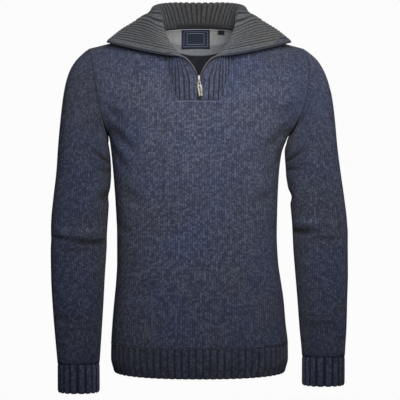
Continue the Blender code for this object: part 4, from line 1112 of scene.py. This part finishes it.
def weave_material(name, colour, light, threads, **constants):
    """A close plain weave: the UV map counts threads both ways."""
    material, tree, shader = new_material(name, **constants)
    over, under = (calc(tree, "SINE", calc(tree, "MULTIPLY", count, math.pi * threads))
                   for count in split_uv(tree))
    height = calc(tree, "MULTIPLY_ADD", calc(tree, "MULTIPLY", over, under), 0.5, 0.5)
    fibres = add_noise(tree, 1500.0)
    tone = calc(tree, "MULTIPLY_ADD", fibres, 0.6, calc(tree, "MULTIPLY", height, 0.4))
    tree.links.new(add_ramp(tree, tone, (0.25, colour), (0.8, light)), shader.inputs["Base Color"])
    add_bump(tree, shader, height, 0.6, 0.1)
    return material


tape_weave = weave_material("navy_zip_tape", (0.008, 0.01, 0.02), (0.03, 0.036, 0.06), 2.0, Roughness=0.8)
coil_nylon, coil_tree, coil_shader = new_material("dark_nylon_coil", Roughness=0.42)
coil_colour = add_ramp(coil_tree, add_noise(coil_tree, 500.0),
                       (0.3, (0.008, 0.009, 0.013)), (0.7, (0.024, 0.026, 0.034)))
coil_tree.links.new(coil_colour, coil_shader.inputs["Base Color"])


def add_tape(side):
    across = np.linspace(TAPE_FAR, TAPE_NEAR, TAPE_COLUMNS)[None, :, None]
    points = edge_line[:, None] + edge_out[:, None] * across + edge_front[:, None] * TAPE_THICKNESS / 2
    wales, courses = np.broadcast_arrays(across[..., 0] / TAPE_THREAD, edge_run[:, None] / TAPE_THREAD)
    tape = add_cloth("zip_tape_" + side + "_weave", on_side(points, side), wales, courses, 0.0,
                     TAPE_THICKNESS, tape_weave)
    line = (edge_line + edge_out * (TAPE_FAR - COIL_INSET)
            + edge_front * (TAPE_THICKNESS / 2 + COIL_TURN[2] * 0.7))
    mirror, offset = ((1, 1, 1), 0.5) if side == "right" else ((-1, 1, 1), 1.0)
    turns = set_along(line * mirror, edge_front * mirror, COIL_PITCH, offset)
    turn = small_ellipsoid((COIL_TURN[1], COIL_TURN[0], COIL_TURN[2]), 8, 5)
    coil = add_copies("zip_coil_" + side, turn, turns, coil_nylon)
    return [finish_piece(tape, "zip_tape_" + side), finish_piece(coil)]


add_tape("left") + add_tape("right")

# ---------------------------------------------------------------- slider and pull
# A die-cast slider, plated with nickel, and its pull: a flat tab hung in the bail by its top bar,
# with a groove down its middle, darkened as painted shade. Both keep their solids' form, with rounded edges.
EDGE_ROUND = 0.28
GROOVE_WIDTH = 2.2
GROOVE_TOP = 7.4        # from the pin down to the groove
CROWN_TAPER = 0.5
HEEL_TAPER = 0.78
BAIL_TAPER = 0.8        # so that the pull's tilted eye clears the bail all the way round
BODY_SHARE, BAIL_SHARE = 0.95, 0.3      # of the half width: beyond is the body's side, within is the bail


def metal_material(name, bright, worn, roughness):
    material, tree, shader = new_material(name, Metallic=1.0, Roughness=roughness)
    cloud = add_noise(tree, 320.0, detail=4.0)
    tree.links.new(add_ramp(tree, cloud, (0.35, worn), (0.6, bright)), shader.inputs["Base Color"])
    rough = calc(tree, "MULTIPLY_ADD", cloud, 0.25, roughness - 0.1)
    tree.links.new(rough, shader.inputs["Roughness"])
    add_bump(tree, shader, cloud, 0.2, 0.05)
    return material


nickel = metal_material("brushed_nickel", (0.17, 0.163, 0.143), (0.085, 0.08, 0.068), 0.42)
# Darker metal for the groove's floor: painted shade in the recess.
groove_painted_shade = metal_material("groove_painted_shade", (0.07, 0.065, 0.05), (0.03, 0.028, 0.02), 0.5)


def rounded_copy(node, name):
    """A metal node's own form as a clean mesh."""
    bpy.ops.object.select_all(action="DESELECT")
    piece = frame["nodes"][node].copy()
    piece.data = piece.data.copy()
    piece.animation_data_clear()
    piece.parent = None
    for key in [key for key in piece.keys() if key.startswith("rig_")]:
        del piece[key]
    bpy.context.collection.objects.link(piece)
    piece.name = piece.data.name = name
    bpy.context.view_layer.objects.active = piece
    piece.select_set(True)
    bpy.ops.object.mode_set(mode="EDIT")
    bpy.ops.mesh.select_all(action="SELECT")
    bpy.ops.mesh.remove_doubles(threshold=0.00001)
    bpy.ops.mesh.dissolve_limited(angle_limit=math.radians(1))
    bpy.ops.object.mode_set(mode="OBJECT")
    return piece


def round_edges(piece):
    bevel = piece.modifiers.new("rounding", "BEVEL")
    bevel.width = EDGE_ROUND * MM
    bevel.segments = 3
    bevel.limit_method = "ANGLE"
    bevel.angle_limit = math.radians(30)
    bpy.ops.object.modifier_apply(modifier=bevel.name)
    bpy.ops.object.shade_smooth_by_angle(angle=math.radians(40))
    piece.data.materials.clear()
    piece.data.materials.append(nickel)


slider_low, slider_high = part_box("zip_slider")
slider = rounded_copy("zip_slider", "zip_slider_metal")
half_width = max(slider_high[0], -slider_low[0])
for vertex in slider.data.vertices:
    if abs(vertex.co.x) > half_width * BODY_SHARE:
        if vertex.co.z > slider_high[2] - 2 * MM:
            vertex.co.x *= CROWN_TAPER
        elif vertex.co.z < slider_low[2] + MM:
            vertex.co.x *= HEEL_TAPER
    elif abs(vertex.co.x) < half_width * BAIL_SHARE:
        vertex.co.x *= BAIL_TAPER
round_edges(slider)
finish_piece(slider, "zip_slider")

pull = rounded_copy("zip_pull", "zip_pull_metal")
pull_low, pull_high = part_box("zip_pull")
pull_middle_y = (pull_low[1] + pull_high[1]) / 2
round_edges(pull)
pull.data.materials.append(groove_painted_shade)
(swing,) = frame["joints"]
swing_axis = Vector(swing["axis"])
pin = Vector(swing["pos_m"])
bpy.ops.object.mode_set(mode="EDIT")
for side in (1, -1):
    bpy.ops.mesh.select_all(action="SELECT")
    bpy.ops.mesh.bisect(plane_co=pin + swing_axis * side * GROOVE_WIDTH / 2 * MM, plane_no=swing_axis)
bpy.ops.object.mode_set(mode="OBJECT")
# The groove's floor below GROOVE_TOP takes the darker metal, as painted shade.
for face in pull.data.polygons:
    from_pin = face.center - pin
    in_groove = abs(from_pin.dot(swing_axis)) < GROOVE_WIDTH / 2 * MM and face.center.y < pull_middle_y
    if in_groove and from_pin.length > GROOVE_TOP * MM and face.normal.y < -0.3:
        face.material_index = 1
finish_piece(pull, "zip_pull", "pull_tab")

# ---------------------------------------------------------------- inside the back neck
# A half-moon of fine grey jersey is sewn inside the back neck, with a navy woven label and a
# small size tab on it; both are bare, with a stitched border and an inner frame on the label.
PATCH_HALF_WIDTH = 69.0
PATCH_TOP = 0.4
PATCH_DEPTH = 55.0
PATCH_END_DEPTH = 9.0
PATCH_FOOT_POWER = 0.8
PATCH_THICKNESS = 1.0
PATCH_GAP = 0.7
PATCH_BAND = 0.66           # of its depth, where the band along its foot begins
BAND_SHADE = 0.2
SIDE_SHADE = 0.18           # painted shade, darker towards the patch's right end
LAYER_GAP = 0.9
LABEL_THICKNESS = 0.6
LABEL_SINK = PATCH_GAP + PATCH_THICKNESS + LAYER_GAP + LABEL_THICKNESS
STITCH_LIFT = 0.12
LABEL = (-7.0, 0.0, 58.0, 40.0)         # middle x, drop, width and height
SIZE_TAB = (46.0, 0.0, 14.0, 10.0)
JERSEY_WALE = 1.5
WEAVE_THREAD = 0.45
inside_columns = np.linspace(SHOULDER_PARTS, SHOULDER_PARTS + BACK_NECK_PARTS, 81)[None, :]
inside_grid = panel_points("back", inside_columns, np.linspace(0.55, 1.0, 61)[:, None])
inside_out = grid_normals(inside_grid)
if inside_out[30, 40, 1] < 0:
    inside_out = -inside_out


def inside_back(x, drop, sink):
    """Points inside the back: x along the neck edge, drop below it, sink from the inner face."""
    x, drop = np.broadcast_arrays(x, drop)
    points = np.zeros((*x.shape, 3))
    for spot in np.ndindex(x.shape):
        column = np.interp(x[spot], inside_grid[-1, :, 0], range(inside_grid.shape[1]))
        low = min(int(column), inside_grid.shape[1] - 2)
        share = column - low
        line = inside_grid[:, low] * (1 - share) + inside_grid[:, low + 1] * share
        way = inside_out[:, low] * (1 - share) + inside_out[:, low + 1] * share
        row = np.interp(line[-1, 2] - drop[spot], line[:, 2], range(len(line)))
        points[spot] = on_line(line, row) - unit(on_line(way, row)) * (CLOTH + sink)
    return points


grey_jersey = knit_material("fine_grey_jersey", (0.16, 0.16, 0.16), (0.28, 0.277, 0.277),
                            (0.4, 0.4, 0.4), depth=0.25)
navy_weave = weave_material("navy_label_weave", (0.003, 0.005, 0.012), (0.009, 0.014, 0.032), 1.0,
                            Roughness=0.8)
blue_thread = weave_material("light_blue_thread", (0.14, 0.19, 0.33), (0.32, 0.38, 0.55), 1.0,
                             Roughness=0.5)
grey_thread = weave_material("grey_thread", (0.1, 0.1, 0.105), (0.2, 0.2, 0.21), 1.0, Roughness=0.6)


def add_inside_piece(name, node, points, relief, thread, thickness, material,
                     shade=None):
    up, across = run_length(points), run_length(points, axis=1)
    piece = add_cloth(name, points, across / thread, up / thread, relief, thickness, material, shade=shade)
    finish_piece(piece, node)


def add_stitches(name, line, outward, pitch, half_sizes, material):
    stitch = small_ellipsoid(half_sizes, 6, 4)
    return finish_piece(add_copies(name, stitch, set_along(line, outward, pitch), material))


turn = np.linspace(0, math.pi, 49)[None, :]
foot = PATCH_END_DEPTH + (PATCH_DEPTH - PATCH_END_DEPTH) * np.sin(turn) ** PATCH_FOOT_POWER
share = np.linspace(1, 0, 25)[:, None]
patch_points = inside_back(-PATCH_HALF_WIDTH * np.cos(turn), PATCH_TOP + (foot - PATCH_TOP) * share,
                           PATCH_GAP + PATCH_THICKNESS)
band_relief = np.where(share > PATCH_BAND, -0.35, 0.0) * np.ones_like(turn)
toward_front = np.array([(0.0, -1.0, 0.0)])
band_line = inside_back(-PATCH_HALF_WIDTH * np.cos(turn), PATCH_TOP + (foot - PATCH_TOP) * PATCH_BAND,
                        PATCH_GAP + PATCH_THICKNESS + 0.15)[0, 4:-4]
patch_stitches = add_stitches("neck_patch_stitches", band_line, toward_front.repeat(len(band_line), 0), 2.6,
                              (0.95, 0.28, 0.22), grey_thread)
add_inside_piece("neck_patch_jersey", "neck_patch", patch_points, band_relief, JERSEY_WALE, PATCH_THICKNESS,
                 grey_jersey,
                 np.where(share > PATCH_BAND, BAND_SHADE, 0.0) + SIDE_SHADE * np.clip(-np.cos(turn), 0, 1))


def tab_points(tab):
    middle, drop, width, height = tab
    x = np.linspace(middle - width / 2, middle + width / 2, 25)[None, :]
    return inside_back(x, np.linspace(drop + height, drop, 17)[:, None], LABEL_SINK)


def label_border(inset_x, inset_down):
    """A rectangle inside the label's edges."""
    middle, drop, width, height = LABEL
    half = width / 2 - inset_x
    left, right, top, foot = middle - half, middle + half, drop + inset_down, drop + height - inset_down
    corners = ((left, top), (right, top), (right, foot), (left, foot), (left, top))
    spots = np.concatenate([np.linspace(start, end, 12)[:-1] for start, end in zip(corners, corners[1:])]
                           + [np.array(corners[-1:])])
    return inside_back(spots[:, 0], spots[:, 1], LABEL_SINK + STITCH_LIFT)


for trim, inset_x, inset_down, pitch, half_sizes in (
        ("label_border_dashes", 4.4, 4.6, 3.6, (1.0, 0.45, 0.2)),
        ("label_inner_frame", 11.5, 9.0, 1.2, (0.7, 0.28, 0.15))):
    line = label_border(inset_x, inset_down)
    add_stitches(trim, line, toward_front.repeat(len(line), 0), pitch, half_sizes,
                                   blue_thread)
add_inside_piece("label_weave", "label", tab_points(LABEL), 0.0, WEAVE_THREAD, LABEL_THICKNESS,
                 navy_weave)
add_inside_piece("size_tab_weave", "size_tab", tab_points(SIZE_TAB), 0.0, WEAVE_THREAD,
                 LABEL_THICKNESS, navy_weave)

# ---------------------------------------------------------------- seam stitches
# Lines of lighter yarn stitches that hold the plastron to the V's foot and cover the hem's join.
SEAM_DROP = 3.6
NOTCH_STOPS = 2.2       # stops of the top edge on each side of the V's middle
HEM_STITCH_RISE = 1.2
seam_yarn = knit_material("seam_yarn", (0.08, 0.09, 0.13), (0.17, 0.19, 0.26), (0.3, 0.32, 0.4))
SEAM_STITCH = (1.7, 0.7, 0.6)


def panel_out(face, column, rise):
    """Which way is out of a panel's cloth."""
    across = panel_points(face, column + 0.05, rise) - panel_points(face, column - 0.05, rise)
    up = panel_points(face, column, rise + 0.004) - panel_points(face, column, rise - 0.004)
    return unit(np.cross(across, up)) * (1 if face == "front" else -1)


notch_top = TOPS["front"]
notch_middle = (len(notch_top) - 1) / 2
notch_column = np.linspace(notch_middle - NOTCH_STOPS, notch_middle + NOTCH_STOPS, 121)
notch_rise = 1 - SEAM_DROP / (on_line(notch_top, notch_column)[:, 2] - ARMPIT)
notch_out = panel_out("front", notch_column, notch_rise)
add_stitches("neck_seam_stitches", panel_points("front", notch_column, notch_rise) + notch_out * 0.25,
             notch_out, 4.1, SEAM_STITCH, seam_yarn)
for face in ("front", "back"):
    hem_turn = np.linspace(0.05, math.pi - 0.05, 181)
    hem_line = torso_points(hem_turn, HEM_LINE + HEM_STITCH_RISE, face)
    hem_out = unit(hem_line * (1, 1.6, 0))
    add_stitches("hem_stitches_" + face, hem_line + hem_out * 0.5, hem_out, WALE, (1.3, 0.5, 0.45),
                 seam_yarn)

# ---------------------------------------------------------------- stage
# A pale floor at the height of the wearer's feet, a pale room, and three soft lights: one close in
# front of the chest, and one behind at each side, which draws the edges.
bpy.ops.object.select_all(action="DESELECT")
bpy.ops.mesh.primitive_plane_add(size=4.4, location=(0, 0, -1.3))
floor = bpy.context.object
floor.name = "floor"
floor_material, _, floor_shader = new_material("floor_paint", Roughness=0.9)
floor_shader.inputs["Base Color"].default_value = (0.85, 0.85, 0.85, 1.0)
floor.data.materials.append(floor_material)


def add_light(name, place, aim, size, power, spread=180):
    bpy.ops.object.light_add(type="AREA", location=place)
    light = bpy.context.object
    light.name = name
    light.visible_camera = False
    light.data.size = size
    light.data.energy = power
    light.data.spread = math.radians(spread)
    light.rotation_euler = (Vector(aim) - light.location).to_track_quat("-Z", "Y").to_euler()


add_light("key_light", (0.12, -0.92, 0.15), (0.03, 0, -0.15), 0.6, 4.6, 94)
for side, x in (("left", -1.6), ("right", 1.6)):
    add_light(side + "_light", (x, 1.2, 0.4), (0, 0, -0.3), 1.2, 5)
room = bpy.data.worlds.new("studio")
bpy.context.scene.world = room
room.use_nodes = True
room_light = room.node_tree.nodes["Background"]
room_light.inputs["Color"].default_value = (0.93, 0.95, 1.0, 1.0)
room_light.inputs["Strength"].default_value = 0.03
seen = add_node(room.node_tree, "Background", {"Color": (0.97, 0.97, 0.97, 1.0), "Strength": 1.0})
from_eye = add_node(room.node_tree, "LightPath", {}, "Is Camera Ray")
both = add_node(room.node_tree, "MixShader", {0: from_eye, 1: room_light.outputs[0], 2: seen})
room.node_tree.links.new(both, room.node_tree.nodes["World Output"].inputs["Surface"])
